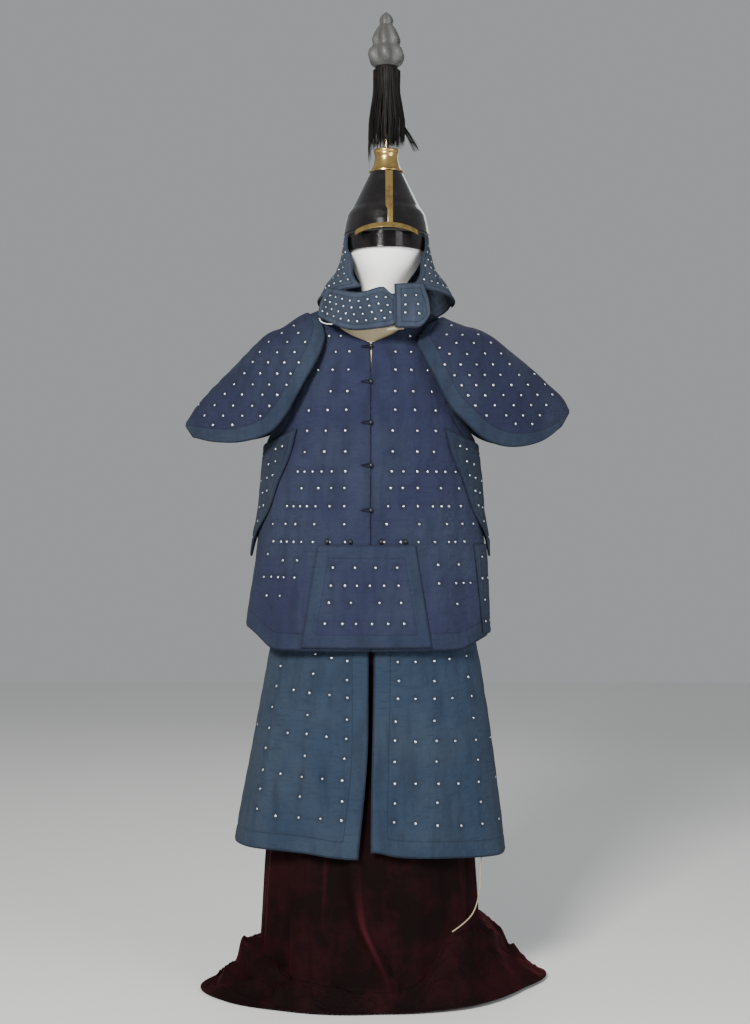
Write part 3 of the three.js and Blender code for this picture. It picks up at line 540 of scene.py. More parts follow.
coatRows = rowsOf("z left right front back",
    (800, 301, 277, 168, 166), (900, 287, 272, 160, 159), (1020, 270, 267, 152, 152),
    (1167, 256, 257, 146, 150), (1261, 247, 248, 144, 150), (1350, 235, 235, 142, 150),
    (1420, 222, 222, 133, 146), (1470, 211, 211, 119, 136), (1520, 197, 197, 94, 114),
    (1556, 180, 180, 70, 90), (1583, 148, 148, 48, 66), (1597, 114, 114, 32, 46),
    (1609, 78, 78, 20, 30),
)
neckline = rowsOf("angle z",
    (0, 1509), (16, 1533), (30, 1563), (50, 1593), (90, 1609), (130, 1597), (180, 1576),
)
coatWaves = rowsOf("angle width rise",
    (-128, 16, 6), (-72, 12, 5), (-31, 10, 4), (37, 11, 5), (68, 12, 4), (121, 15, 6), (165, 14, 4),
)
skirtWaves = rowsOf("angle width rise",
    (-150, 14, 8), (-104, 15, 7), (-57, 13, 7), (-20, 10, 4), (24, 11, 5), (62, 14, 8),
    (110, 15, 6), (148, 13, 8),
)
skirtRows = rowsOf("z left right front back",
    (330, 322, 315, 198, 196), (480, 295, 297, 182, 180), (640, 266, 276, 164, 162),
    (790, 240, 252, 144, 142), (930, 216, 220, 126, 126), (1062, 193, 193, 113, 113),
)
velvetRows = rowsOf("z left right front back",
    (0, 258, 258, 184, 184), (138, 250, 250, 178, 178), (300, 241, 241, 171, 171),
    (500, 230, 230, 150, 150), (780, 208, 208, 116, 116), (980, 170, 170, 94, 94),
)
velvetFolds = rowsOf("angle drift width rise",
    (-168, -6, 6, 9), (-141, 5, 7, 11), (-117, -5, 6, 9), (-92, 6, 6, 10), (-70, -4, 5, 8),
    (-38, -3, 6, 12), (-9, 20, 5, 9), (27, -4, 5, 7), (52, 7, 6, 11), (79, -5, 6, 9),
    (106, 5, 7, 11), (133, -6, 6, 8), (158, 4, 6, 10),
)
heapRows = rowsOf("angle reach height",
    (-180, 245, 70), (-140, 300, 84), (-108, 372, 120), (-90, 401, 132), (-72, 352, 112),
    (-45, 268, 66), (0, 213, 38), (28, 232, 62), (50, 276, 166), (84, 352, 186), (107, 438, 150),
    (128, 340, 96), (180, 245, 70),
)
rightGuardRows = rowsOf("s ridgeX ridgeZ edgeX edgeZ deep",
    (0, -145, 1583, -116, 1556, 64), (0.1, -168, 1572, -107, 1517, 96),
    (0.2, -198, 1557, -119, 1474, 120), (0.35, -232, 1543, -148, 1420, 131),
    (0.5, -265, 1510, -172, 1376, 130), (0.62, -298, 1477, -193, 1340, 124),
    (0.74, -333, 1441, -232, 1300, 112), (0.85, -370, 1404, -296, 1281, 92),
    (0.94, -404, 1364, -363, 1283, 62), (1, -433, 1320, -414, 1296, 22),
)
leftGuardRows = rowsOf("s ridgeX ridgeZ edgeX edgeZ deep",
    (0, 163, 1572.4, 132, 1550, 66), (0.1, 188, 1561.4, 108, 1503, 100),
    (0.2, 218, 1550, 120, 1474, 121), (0.35, 256, 1539, 149, 1418, 131),
    (0.5, 291, 1518, 178, 1362, 128), (0.62, 326, 1490, 215, 1324, 118),
    (0.74, 367, 1456, 262, 1285, 104), (0.85, 408, 1419, 322, 1270, 84),
    (0.94, 444, 1384, 391, 1284, 56), (1, 463, 1352, 444, 1322, 22),
)
armpitRows = rowsOf("z reach",
    (1016, 4), (1060, 12), (1120, 26), (1190, 34.5), (1245, 42), (1312, 46),
)
collarRows = rowsOf("z side front back",
    (1525, 176, 150, 188), (1560, 177, 150, 184), (1597, 172, 146, 174), (1620, 160, 140, 161),
    (1658, 140, 127, 144), (1686, 119, 117, 128), (1733, 104, 111, 114), (1766, 99.4, 109.4, 109.4),
)
cheekFront = rowsOf("v angle",
    (0, 22), (0.3, 38), (0.6, 50), (0.78, 64), (1, 69),
)
throatRows = rowsOf("angle top bottom",
    (-62, 1640, 1572), (-45, 1630, 1552), (-22, 1619, 1534), (-3, 1630, 1536), (4, 1614, 1541),
    (9, 1618, 1547),
)
bowlRows = rowsOf("z radius",
    (1771, 100), (1795, 96), (1814, 91.5), (1822, 88), (1834, 79), (1875, 58.7), (1917, 38),
)
helmetX = 36
helmetLong = 1.1


def wrapped(angle):
    return (angle + 180) % 360 - 180


def ringPoint(rows, angle, z):
    across = math.sin(angle)
    ahead = math.cos(angle)
    side = along(rows, "z", z, "left" if across < 0 else "right")
    depth = along(rows, "z", z, "front" if ahead > 0 else "back")
    return Vector((across * side, -ahead * depth, z))


def ridges(waves, angle, drift=0):
    total = 0
    for wave in waves:
        away = wrapped(angle - wave["angle"] - wave.get("drift", 0) * drift)
        total += wave["rise"] * bell(away, 0, wave["width"])
    return total


def pushedOut(point, distance):
    grown = 1 + distance / math.hypot(point.x, point.y)
    return Vector((point.x * grown, point.y * grown, point.z))


def coatPoint(angle, z):
    hang = 1 - soft(z, 850, 1180)
    return pushedOut(ringPoint(coatRows, angle, z), ridges(coatWaves, angle / degree) * hang)


def skirtPoint(angle, z):
    hang = 1 - soft(z, 380, 860)
    return pushedOut(ringPoint(skirtRows, angle, z), ridges(skirtWaves, angle / degree) * hang)


# A place round the helmet's upright axis, which stands to the wearer's left of the coat's
def aroundHelmet(angle, side, depth, z):
    return Vector((helmetX + math.sin(angle) * side, -math.cos(angle) * depth, z))


def collarPoint(angle, z):
    depth = along(collarRows, "z", z, "front" if math.cos(angle) > 0 else "back")
    return aroundHelmet(angle, along(collarRows, "z", z, "side"), depth, z)


def bowlRadius(z):
    row = 0
    while row < len(bowlRows) - 2 and z > bowlRows[row + 1]["z"]:
        row += 1
    low = bowlRows[row]
    high = bowlRows[row + 1]
    return mix(low["radius"], high["radius"], (z - low["z"]) / (high["z"] - low["z"]))


# Cloth: a grid over a surface becomes a wall with an outer face, an inner face and closed rims

# A surface's point moved along its outward normal, as the solids do it
def lifted(surface, u, v, distance):
    step = 1e-3
    alongU = surface(u + step, v) - surface(u - step, v)
    alongV = surface(u, v + step) - surface(u, v - step)
    return surface(u, v) + alongU.cross(alongV).normalized() * distance


# Lengths from the first point to each point of a line
def arcOf(points):
    lengths = [0]
    for a, b in zip(points, points[1:]):
        lengths.append(lengths[-1] + (b - a).length)
    return lengths


def meshObject(name, points, faces):
    mesh = bpy.data.meshes.new(name)
    mesh.from_pydata([tuple(p) for p in points], [], faces)
    mesh.update()
    mesh.shade_smooth()
    return newObject(name, mesh)


def addAttribute(mesh, name, values):
    mesh.attributes.new(name, "FLOAT", "POINT").data.foreach_set("value", values)


puckerDepth = 1.4
puckerRadius = 7.5
puckerReach = 20


# Each stud draws the padding in around it: how near a place is to one, 1 at its foot. The same nearness darkens the
# cloth's colour, as painted shade round each stud
def puckersOf(surface, places):
    spots = [surface(u, v) for u, v in places]
    def nearness(p):
        total = 0
        for spot in spots:
            if max(abs(p.z - spot.z), abs(p.x - spot.x)) > puckerReach:
                continue
            away = (p - spot).length / puckerRadius
            if away < bellEnd:
                total += math.exp(-away * away)
        return total
    return nearness


# Farther in than any border is wide
farInside = 999


# cloth: steps, thickness, lift, edges that carry a border, rounding, studs, relief(place, bordered)
def clothWall(name, surface, cloth):
    nu, nv = cloth["steps"]
    thick = cloth["thick"]
    relief = cloth.get("relief")
    pucker = puckersOf(surface, cloth.get("studs", ()))
    width = nu + 1
    grid = [(i / nu, j / nv) for j in range(nv + 1) for i in range(width)]
    base = [surface(u, v) for u, v in grid]
    rows = [arcOf(base[j * width:(j + 1) * width]) for j in range(nv + 1)]
    columns = [arcOf(base[i::width]) for i in range(width)]
    drawnInAndShaded = []
    outer = []
    inner = []
    rims = []
    flat = []
    for at, (u, v) in enumerate(grid):
        row = rows[at // width]
        column = columns[at % width]
        fromLeft = row[at % width]
        fromFoot = column[at // width]
        sides = {
            "left": fromLeft, "right": row[-1] - fromLeft,
            "foot": fromFoot, "top": column[-1] - fromFoot,
        }
        bordered = min(sides[side] for side in cloth["edges"])
        edge = 1 - clamp(min(sides.values()) / cloth["round"], 0, 1)
        sunk = thick * 0.42 * edge**2.4
        normal = (lifted(surface, u, v, 1) - base[at]).normalized()
        drawnInAndShaded.append(pucker(base[at]))
        height = 0
        if relief:
            height = (relief(base[at], bordered) - puckerDepth * drawnInAndShaded[-1]) * (1 - edge)
        outer.append(base[at] + normal * (cloth["lift"] + thick - sunk + height))
        inner.append(base[at] + normal * (cloth["lift"] + sunk * 0.8))
        rims.append(bordered * mm)
        flat.append((fromLeft * mm, fromFoot * mm))
    layer = len(outer)
    faces = []
    area = 0
    for j in range(nv):
        for i in range(nu):
            a = j * width + i
            b, c, d = (a + 1, a + 1 + width, a + width)
            faces.append((a, b, c, d))
            faces.append((layer + a, layer + d, layer + c, layer + b))
            reach = base[c] - base[a]
            folded = (base[b] - base[a]).cross(reach).length + reach.cross(base[d] - base[a]).length
            area += folded / 2
    for j in range(nv):
        a = j * width
        faces.append((a, a + width, layer + a + width, layer + a))
        b = a + nu
        faces.append((b, layer + b, layer + b + width, b + width))
    for i in range(nu):
        faces.append((layer + i, layer + i + 1, i + 1, i))
        t = nv * width + i
        faces.append((t, t + 1, layer + t + 1, layer + t))
    piece = meshObject(name, [p * mm for p in outer + inner], faces)
    addAttribute(piece.data, "rim", rims + rims)
    # The nearness to the studs is kept for the colour, which paints shade round each stud with it
    addAttribute(piece.data, "pucker", drawnInAndShaded + drawnInAndShaded)
    places = piece.data.uv_layers.new(name="cloth")
    both = flat + flat
    for loop in piece.data.loops:
        places.data[loop.index].uv = both[loop.vertex_index]
    wide = max(row[-1] for row in rows) * mm
    long = max(column[-1] for column in columns) * mm
    return piece, wide, long, area * mm * mm


# A cloth panel takes its solid's place and states how it was cut
def addPanel(cloth):
    node = cloth["node"]
    piece, wide, long, area = clothWall(node + "_cloth", cloth["surface"], cloth)
    finishPiece(piece, cloth["material"], cloth["slot"], node)
    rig.sheet(
        piece,
        flat=(wide, long),
        held=cloth["held"],
        rests_on=cloth["restsOn"],
        area=clamp(area / (wide * long), 0.3, 1) * wide * long,
        with_pieces=[addStuds(node + "_studs", cloth)],
    )
    print(node, round(wide, 3), round(long, 3), round(area, 3), "studs", len(cloth["studs"]))


def addPanels(shared, panels):
    for panel in panels:
        cloth = {**shared, **panel}
        cloth["relief"] = reliefOf(cloth["creases"], cloth["border"])
        addPanel(cloth)


# A stud's radius, how far its foot sinks in, and how much one differs from the next
stud = {"radius": 3.3, "sunk": 0.4, "tilt": 0.12, "smallest": 0.88, "largest": 1.1}


# One stud: a low dome, cut from a ball and flattened, copied to each of its places
def makeStud():
    bpy.ops.object.select_all(action="DESELECT")
    bpy.ops.mesh.primitive_uv_sphere_add(segments=8, ring_count=8, radius=1)
    ball = bpy.context.object
    editStart(ball)
    bpy.ops.mesh.select_all(action="SELECT")
    bpy.ops.mesh.bisect(plane_co=(0, 0, -0.3), plane_no=(0, 0, 1), use_fill=True, clear_inner=True)
    bpy.ops.mesh.select_all(action="SELECT")
    bpy.ops.transform.resize(value=(1, 1, 0.62), center_override=(0, 0, 0))
    bpy.ops.mesh.normals_make_consistent(inside=False)
    bpy.ops.object.mode_set(mode="OBJECT")
    corners = [v.co.copy() for v in ball.data.vertices]
    faces = [tuple(p.vertices) for p in ball.data.polygons]
    bpy.data.objects.remove(ball)
    return corners, faces


# The studs' places are (u, v) on the surface; a stud is never quite straight or quite round
def addStuds(name, cloth):
    surface = cloth["surface"]
    corners, shape = makeStud()
    points = []
    faces = []
    pucker = puckersOf(surface, cloth["studs"])
    for u, v in cloth["studs"]:
        spot = surface(u, v)
        sunk = cloth["relief"](spot, farInside) - puckerDepth * pucker(spot)
        lift = cloth["lift"] + cloth["thick"] - stud["sunk"] + sunk
        place = lifted(surface, u, v, lift)
        normal = (lifted(surface, u, v, lift + 1) - place).normalized()
        tiltX = random.uniform(-stud["tilt"], stud["tilt"])
        tiltZ = random.uniform(-stud["tilt"], stud["tilt"])
        normal = (normal + Vector((tiltX, 0, tiltZ))).normalized()
        side = normal.orthogonal().normalized()
        up = normal.cross(side)
        radius = cloth.get("studRadius", stud["radius"])
        radius *= random.uniform(stud["smallest"], stud["largest"])
        first = len(points)
        for corner in corners:
            away = side * corner.x + up * corner.y + normal * corner.z
            points.append((place + away * radius) * mm)
        faces += [tuple(first + i for i in face) for face in shape]
    return finishPiece(meshObject(name, points, faces), studMetal, "stud_metal")


# Where the studs stand

# Finds the (u, v) of a surface that lies nearest to a place, by a coarse grid and a closer look
def findOn(surface, wanted):
    best = (0.5, 0.5)
    span = 0.5
    for step in range(9):
        reach = 4 if step == 0 else 2
        middle = best
        found = None
        for i in range(-reach, reach + 1):
            for j in range(-reach, reach + 1):
                u = clamp(middle[0] + span * i / reach, 0.001, 0.999)
                v = clamp(middle[1] + span * j / reach, 0.001, 0.999)
                away = wanted(surface(u, v))
                if found is None or away < found:
                    found = away
                    best = (u, v)
        span *= 0.36 if step == 0 else 0.52
    return best, found


def atXZ(x, z):
    return lambda p: (p.x - x) ** 2 + (p.z - z) ** 2


def atAngleZ(angle, z, reach=250):
    def away(p):
        turn = wrapped(math.atan2(p.x, -p.y) / degree - angle) * degree * reach
        return turn * turn + (p.z - z) ** 2
    return away


# The camera's place in millimetres, its lens and the photo's middle in pixels, and the square
# millimetres of a pixel on the armour
photo = {
    "away": view["distance"] / mm, "side": view["side"] / mm, "height": view["height"] / mm,
    "lens": 1660, "x": 375, "y": 512, "area": 5.3,
}
hiddenSide = 1e6


# Photo pixels to x and z in millimetres, at a depth in front of the middle plane
def fromPhoto(px, py, depth):
    scale = (photo["away"] + depth) / photo["lens"]
    return photo["side"] + (px - photo["x"]) * scale, photo["height"] + (photo["y"] - py) * scale


# How far a point lies from a photo pixel, in square millimetres, on the near side only
def seenAt(px, py):
    def away(p):
        reach = photo["away"] + p.y
        dx = photo["x"] + (p.x - photo["side"]) * photo["lens"] / reach - px
        dy = photo["y"] - (p.z - photo["height"]) * photo["lens"] / reach - py
        return (dx * dx + dy * dy) * photo["area"] + (0 if p.y < 0 else hiddenSide)
    return away


# A stud is on a panel if the panel comes this near to it, in square millimetres
near = 16
nearGuard = 60


# A table of studs in photo pixels: each row is its y and then the x of its studs
def spotsOf(rows):
    return [(x, y) for y, *across in rows for x in across]


# Creases placed one by one: (x, z) ends, width and depth in millimetres; a minus is a soft ridge
def creaseDepth(creases, p):
    total = 0
    for (ax, az), (bx, bz), wide, deep in creases:
        dx = bx - ax
        dz = bz - az
        t = clamp(((p.x - ax) * dx + (p.z - az) * dz) / (dx * dx + dz * dz), 0, 1)
        away = math.hypot(p.x - ax - dx * t, p.z - az - dz * t) / wide
        if away < bellEnd:
            total -= deep * math.exp(-away * away) * (1 - 0.5 * abs(2 * t - 1))
    return total


def seamGroove(bordered, border, deep):
    return -deep * bell(bordered, border, 3.4)


def reliefOf(creases, border):
    def relief(p, bordered):
        quilted = 0.55 * math.sin(p.x * 0.061 + p.z * 0.043) * math.sin(p.z * 0.087 - p.x * 0.02)
        return quilted + creaseDepth(creases, p) + seamGroove(bordered, border, 1.1)
    return relief


# The coat

coatFork = 1440
forkShare = 9 / 14
armhole = {"middle": 1400, "half": 112}


def coatHem(angle):
    sideways = soft(abs(math.sin(angle)), 0.72, 1)
    return 805 + sideways * (50 if math.sin(angle) < 0 else 27)


def coatTop(angle):
    return along(neckline, "angle", abs(wrapped(angle / degree)), "z")


def coatHeight(angle, v):
    if v < forkShare:
        return mix(coatHem(angle), coatFork, v / forkShare)
    return mix(coatFork, coatTop(angle), (v - forkShare) / (1 - forkShare))



# A side's edge is cut back by the seam, the vent at the hem and the armhole
def sideCut(z):
    vent = 2.2 * (1 - soft(z, 800, 960))
    into = clamp((z - armhole["middle"]) / armhole["half"], -1, 1)
    return (0.22 + vent + 28 * math.sqrt(1 - into * into)) * degree


# The fronts part a little at the neck, where the canvas shows between them
def frontParting(z):
    return (0.12 + 0.5 * soft(z, 1425, 1509)) * degree


def coatPanel(start, end, startIsSide, endIsSide):
    def surface(u, v):
        height = coatHeight(mix(start, end, u), v)
        low = start + (sideCut(height) if startIsSide else frontParting(height))
        high = end - (sideCut(height) if endIsSide else frontParting(height))
        angle = mix(low, high, u)
        return coatPoint(angle, coatHeight(angle, v))
    return surface


# How far from the middle plane the studs of the coat's front and of the flap stand
coatFace = -150
flapFace = -158
frontStuds = (
    (332, 328, 340, 411, 422), (349, 335, 349, 396, 412), (368, 317, 332, 348, 396, 412, 429),
    (390, 330, 347, 395.5, 414, 433), (409, 307.5, 327, 346, 395.5, 415.5, 437),
    (430, 306, 325, 345, 393, 418, 437), (451, 303, 323.5, 345, 393, 418, 435),
    (471, 296, 303, 311, 320.5, 331, 345, 392, 404, 418, 429, 438, 447, 457.5),
    (488, 300, 317.5, 330.5, 344, 391, 403, 418.5, 442, 461.5),
    (506, 285, 292, 299, 306, 314.5, 329, 344, 388.5, 404, 418.5, 434, 443, 450.5, 463),
    (524, 270, 283.6, 294, 313.5, 344, 387, 420, 448, 464.5, 476.6),
    (542, 270.6, 279, 285, 292, 300, 312, 329, 345, 384, 401, 419, 436, 450, 457, 467), (555, 265),
    (561, 281, 296), (565, 439, 460.6), (578, 261, 268.5, 276, 282, 293.6),
    (584, 440, 457.5, 466, 473), (597, 263.7, 278), (605, 459),
)


def frontPlaces(surface, side):
    places = []
    for px, py in spotsOf(frontStuds):
        x, z = fromPhoto(px, py, coatFace)
        if x * side <= 0:
            continue
        place, away = findOn(surface, atXZ(x, z))
        if away < near:
            places.append(place)
    return places


# The hidden back has like rows, evenly placed, and shorter ones between the armholes
backRows = {"count": 14, "top": 1545, "down": 46, "first": 7, "apart": 17.5, "shift": 8}
betweenArmholes = {"above": 1290, "reach": 56}


def backPlaces(surface):
    places = []
    for row in range(backRows["count"]):
        z = backRows["top"] - backRows["down"] * row
        odd = row % 2
        for i in range(4 + odd):
            for side in (-1, 1):
                turn = backRows["first"] + i * backRows["apart"] + backRows["shift"] * odd
                if z > betweenArmholes["above"] and turn > betweenArmholes["reach"]:
                    continue
                place, away = findOn(surface, atAngleZ(180 + side * turn, z))
                if away < near:
                    places.append(place)
    return places


frontCreases = (
    ((-176, 1290), (-98, 1168), 15, 3.0), ((-186, 1200), (-72, 1100), 13, 2.6),
    ((-60, 1400), (-92, 1250), 14, 2.2), ((-38, 1210), (-30, 1062), 11, 2.4),
    ((-206, 1086), (-128, 1060), 12, 2.4), ((62, 1430), (96, 1262), 14, 2.4),
    ((176, 1270), (84, 1150), 15, 3.0), ((200, 1170), (92, 1086), 13, 2.6),
    ((40, 1216), (34, 1070), 11, 2.2), ((-130, 1440), (-118, 1330), 12, -2.0),
    ((128, 1440), (122, 1320), 12, -2.0), ((-150, 1150), (-140, 1000), 14, -1.8),
    ((168, 1120), (186, 960), 14, -2.0), ((-222, 990), (-232, 860), 12, 2.6),
    ((212, 990), (226, 850), 12, 2.6), ((-214, 1211), (-8, 1216), 8, 1.7),
    ((8, 1216), (214, 1209), 8, 1.7), ((-226, 1058), (-122, 1052), 8, 1.5),
    ((106, 1052), (226, 1046), 8, 1.5), ((-196, 1128), (-20, 1134), 7, 1.2),
    ((20, 1134), (204, 1126), 7, 1.2), ((-104, 1330), (-90, 1180), 10, 1.6),
    ((150, 1010), (120, 880), 12, 2.0), ((-170, 1000), (-190, 860), 13, -1.8),
)
backCreases = (
    ((-168, 1300), (-60, 1176), 15, 3.0), ((150, 1320), (56, 1196), 15, 2.8),
    ((-44, 1440), (-30, 1210), 14, 2.4), ((70, 1420), (88, 1240), 13, -2.0),
    ((-120, 1420), (-136, 1260), 13, -2.0), ((-190, 1150), (-90, 1070), 13, 2.6),
    ((196, 1130), (96, 1080), 13, 2.4), ((12, 1180), (4, 900), 16, 2.2),
    ((-160, 1010), (-176, 850), 14, 2.6), ((148, 1030), (176, 860), 14, -2.2),
)


def addCoat():
    right = coatPanel(-quarter, 0, True, False)
    left = coatPanel(0, quarter, False, True)
    back = coatPanel(quarter, 3 * quarter, True, True)
    addPanels({
        "thick": 6, "lift": -6, "round": 5, "border": 40, "material": coatCotton,
        "slot": "indigo_cloth", "held": "hung", "restsOn": ("stand_torso",),
    }, (
        {"node": "coat_front_right", "surface": right, "steps": (84, 150),
         "edges": ("left", "foot"), "studs": frontPlaces(right, -1), "creases": frontCreases},
        {"node": "coat_front_left", "surface": left, "steps": (84, 150),
         "edges": ("right", "foot"), "studs": frontPlaces(left, 1), "creases": frontCreases},
        {"node": "coat_back", "surface": back, "steps": (150, 150),
         "edges": ("left", "right", "foot"), "studs": backPlaces(back), "creases": backCreases},
    ))


# Flaps and armpit guards lie on the coat

def angleAtX(x, z):
    reach = along(coatRows, "z", z, "left" if x < 0 else "right")
    return math.asin(clamp(x / reach, -1, 1))


def frontFlap(u, v):
    z = mix(812, 1045, v)
    return coatPoint(angleAtX(mix(mix(-155, -119, v), mix(136, 101, v), u), z), z)


def sideFlap(u, v):
    z = mix(838, 1045, v)
    reach = mix(23, 28, v) * degree
    return coatPoint(quarter + mix(-reach, reach, u), z)


def armpitGuard(middle):
    def surface(u, v):
        spread = 2 * u - 1
        z = mix(1016, 1312 - 34 * (1 - spread * spread), v)
        point = coatPoint(middle + spread * along(armpitRows, "z", z, "reach") * degree, z)
        return pushedOut(point, 6.5 * (1 - soft(z, 1050, 1130)))
    return surface


flapStuds = (
    (568, 333, 355, 375.6, 397), (586, 331, 345, 357, 370, 384, 398.5), (603, 329, 351, 379.5, 401),
    (624, 325, 342.6, 356, 372, 388, 404),
)


def flapPlaces():
    spots = [fromPhoto(px, py, flapFace) for px, py in spotsOf(flapStuds)]
    return [findOn(frontFlap, atXZ(x, z))[0] for x, z in spots]


# Rows of studs as shares of a panel: each row is its v and then the u of its studs
armpitStuds = (
    (0.9, 0.1, 0.17, 0.45, 0.55, 0.83, 0.9), (0.79, 0.14, 0.24, 0.5, 0.76, 0.86),
    (0.67, 0.12, 0.21, 0.4, 0.6, 0.79, 0.88), (0.55, 0.15, 0.26, 0.5, 0.74, 0.85),
    (0.43, 0.16, 0.3, 0.5, 0.7, 0.84), (0.3, 0.2, 0.5, 0.8), (0.17, 0.32, 0.68),
)
sideStuds = (
    (0.86, 0.14, 0.5, 0.86), (0.62, 0.1, 0.36, 0.64, 0.9), (0.38, 0.12, 0.5, 0.88),
    (0.14, 0.09, 0.36, 0.64, 0.91),
)
flapCreases = (
    ((-124, 1030), (-146, 850), 11, 1.6), ((-40, 1040), (-30, 900), 12, 1.4),
    ((62, 1000), (86, 850), 12, 1.6), ((-20, 960), (60, 930), 11, -1.0),
)


def addFlaps():
    onRight = ("coat_front_right_cloth",)
    onLeft = ("coat_front_left_cloth",)
    guard = {"steps": (84, 84), "lift": 2.2, "studs": spotsOf(armpitStuds)}
    addPanels({
        "thick": 5, "round": 4, "edges": ("left", "right", "foot", "top"), "border": 16,
        "material": armpitCotton, "slot": "grey_blue_cloth", "held": "hung", "creases": (),
    }, (
        {"node": "front_flap", "surface": frontFlap, "steps": (96, 80), "lift": 0.8,
         "studs": flapPlaces(), "border": 30, "material": flapCotton, "restsOn": onRight,
         "creases": flapCreases},
        {"node": "side_flap", "surface": sideFlap, "steps": (64, 64), "lift": 1.6,
         "studs": spotsOf(sideStuds), "restsOn": onLeft},
        {**guard, "node": "armpit_guard_right", "surface": armpitGuard(-quarter),
         "restsOn": onRight},
        {**guard, "node": "armpit_guard_left", "surface": armpitGuard(quarter),
         "restsOn": onLeft},
    ))


# Shoulder guards. The cloth reads their surface from the other side, so u runs backwards in it

def shoulderGuard(rows, turn):
    def surface(u, v):
        spread = 2 * (1 - u) - 1
        across = min(abs(spread), 1)
        drop = 1 - math.cos(across * quarter) ** 1.25 if across < 1 else 1
        out = math.sin(across * quarter) ** 0.9
        side = -1 if spread < 0 else 1
        s = clamp(v, 0, 1)
        x = mix(along(rows, "s", s, "ridgeX"), along(rows, "s", s, "edgeX"), drop)
        z = mix(along(rows, "s", s, "ridgeZ"), along(rows, "s", s, "edgeZ"), drop)
        behind = turn * side > 0
        deep = along(rows, "s", s, "deep") * (1.16 if behind else 1)
        z += 13 * drop * soft(s, 0.1, 0.3) if behind else 0
        z -= 9 * (1 - drop) * bell(s, 0.28, 0.12) if turn < 0 else 0
        return Vector((x, turn * side * out * deep, z))
    return surface


# The guards' studs stand in staggered rows on the half that shows
rightGuardStuds = (
    (425, 214, 233), (416, 206, 224, 243, 261), (406, 200.5, 216, 234, 253, 270),
    (395, 209, 226, 243, 263, 278), (385, 218.5, 235, 254, 270, 287),
    (374, 228, 245.5, 261, 278, 291), (363, 238, 254, 269, 285, 299), (353, 247.5, 261, 278, 295),
    (343, 258, 270, 288, 305.5), (334.5, 268.5, 282.5, 299), (327, 281, 294.5),
)
leftGuardStuds = (
    (327, 451, 466), (336, 446.5, 462, 477.5), (344, 456, 473, 489.5), (348.5, 439.5),
    (354.5, 449, 466.5, 484, 500), (365, 444.5, 460, 476, 492, 508.5),
    (375.5, 454, 469, 484, 499.5, 518.5, 533), (385.5, 461, 475.5, 492.5, 510.5, 527, 543.5),
    (395.5, 467.5, 484.5, 502.5, 520.5, 536.5, 551), (405.5, 475, 494, 513, 530, 545.5),
    (415.5, 486, 505.5, 522.5, 539), (424, 515, 531.5),
)


# The share of a guard's width that counts as its ridge
onRidge = 0.045


# The same studs stand on the half behind the ridge
def guardPlaces(surface, rows):
    places = []
    for px, py in spotsOf(rows):
        (u, v), away = findOn(surface, seenAt(px, py))
        if away > nearGuard:
            continue
        places.append((u, v))
        if abs(u - 0.5) > onRidge:
            places.append((1 - u, v))
    return places


guardCreases = (
    ((-190, 1540), (-250, 1400), 16, 1.6), ((-300, 1470), (-330, 1340), 15, 1.6),
    ((-230, 1440), (-380, 1350), 15, -1.4), ((200, 1540), (262, 1400), 16, 1.6),
    ((330, 1470), (352, 1330), 15, 1.6), ((250, 1430), (400, 1350), 15, -1.4),
)


def addShoulderGuards():
    right = shoulderGuard(rightGuardRows, -1)
    left = shoulderGuard(leftGuardRows, 1)
    addPanels({
        "steps": (150, 110), "thick": 7, "lift": 0, "round": 5, "edges": ("left", "right"),
        "border": 36, "creases": guardCreases, "material": guardCotton, "slot": "indigo_cloth",
        "held": "draped",
    }, (
        {"node": "shoulder_guard_right", "surface": right,
         "studs": guardPlaces(right, rightGuardStuds), "restsOn": ("coat_front_right_cloth",)},
        {"node": "shoulder_guard_left", "surface": left,
         "studs": guardPlaces(left, leftGuardStuds), "restsOn": ("coat_front_left_cloth",)},
    ))


# The skirt

skirtHemRows = rowsOf("angle z",
    (-180, 341), (-90, 350), (-50, 353), (-28, 352), (-5, 342), (0, 357), (11, 347), (28, 341),
    (55, 333), (90, 327), (180, 341),
)


def skirtPanel(side):
    def surface(u, v):
        rightSlit = 1.2 + 4.4 * (1 - soft(v, -0.12, 0.4))
        leftSlit = mix(-0.1, 1.6, soft(v, 0, 0.75))
        backSlit = mix(4, 1.2, v)
        start = -180 + backSlit if side < 0 else leftSlit
        end = -rightSlit if side < 0 else 180 - backSlit
        angle = mix(start, end, u)
        hem = along(skirtHemRows, "angle", clamp(angle, -180, 180), "z")
        return skirtPoint(angle * degree, mix(hem, 1043, v))
    return surface


skirtOpening = 371
# The skirt's studs, as (x, y) in photo pixels, down each panel
skirtStuds = (
    (280, 666), (315, 654), (331, 658), (347, 661), (276, 686), (313, 674), (347, 680), (293, 690),
    (309, 693), (329, 695), (347, 698), (272, 707), (307, 715), (347, 720), (257, 724), (269, 728),
    (287, 733), (306, 734), (326, 737), (346, 739), (266, 748), (304, 756), (344, 759), (263, 770),
    (280, 774), (301, 777), (322, 779), (342, 781), (260, 789), (299, 797), (342, 802), (257, 809),
    (275, 816), (298, 818), (320, 819), (341, 821), (398, 662), (416, 662), (435, 661), (450, 659),
    (467, 656), (399, 681), (435, 681), (469, 677), (398, 699), (416, 699), (435, 699), (453, 698),
    (472, 696), (486, 691), (396, 722), (435, 721), (474, 718), (395, 741), (416, 742), (437, 741),
    (456, 741), (476, 740), (491, 737), (395, 762), (437, 762), (478, 760), (395, 784), (416, 784),
    (439, 784), (459, 784), (479, 782), (496, 777), (395, 804), (438, 803), (481, 802), (394, 823),
    (416, 824), (438, 826), (462, 826), (483, 824), (499, 819),
)


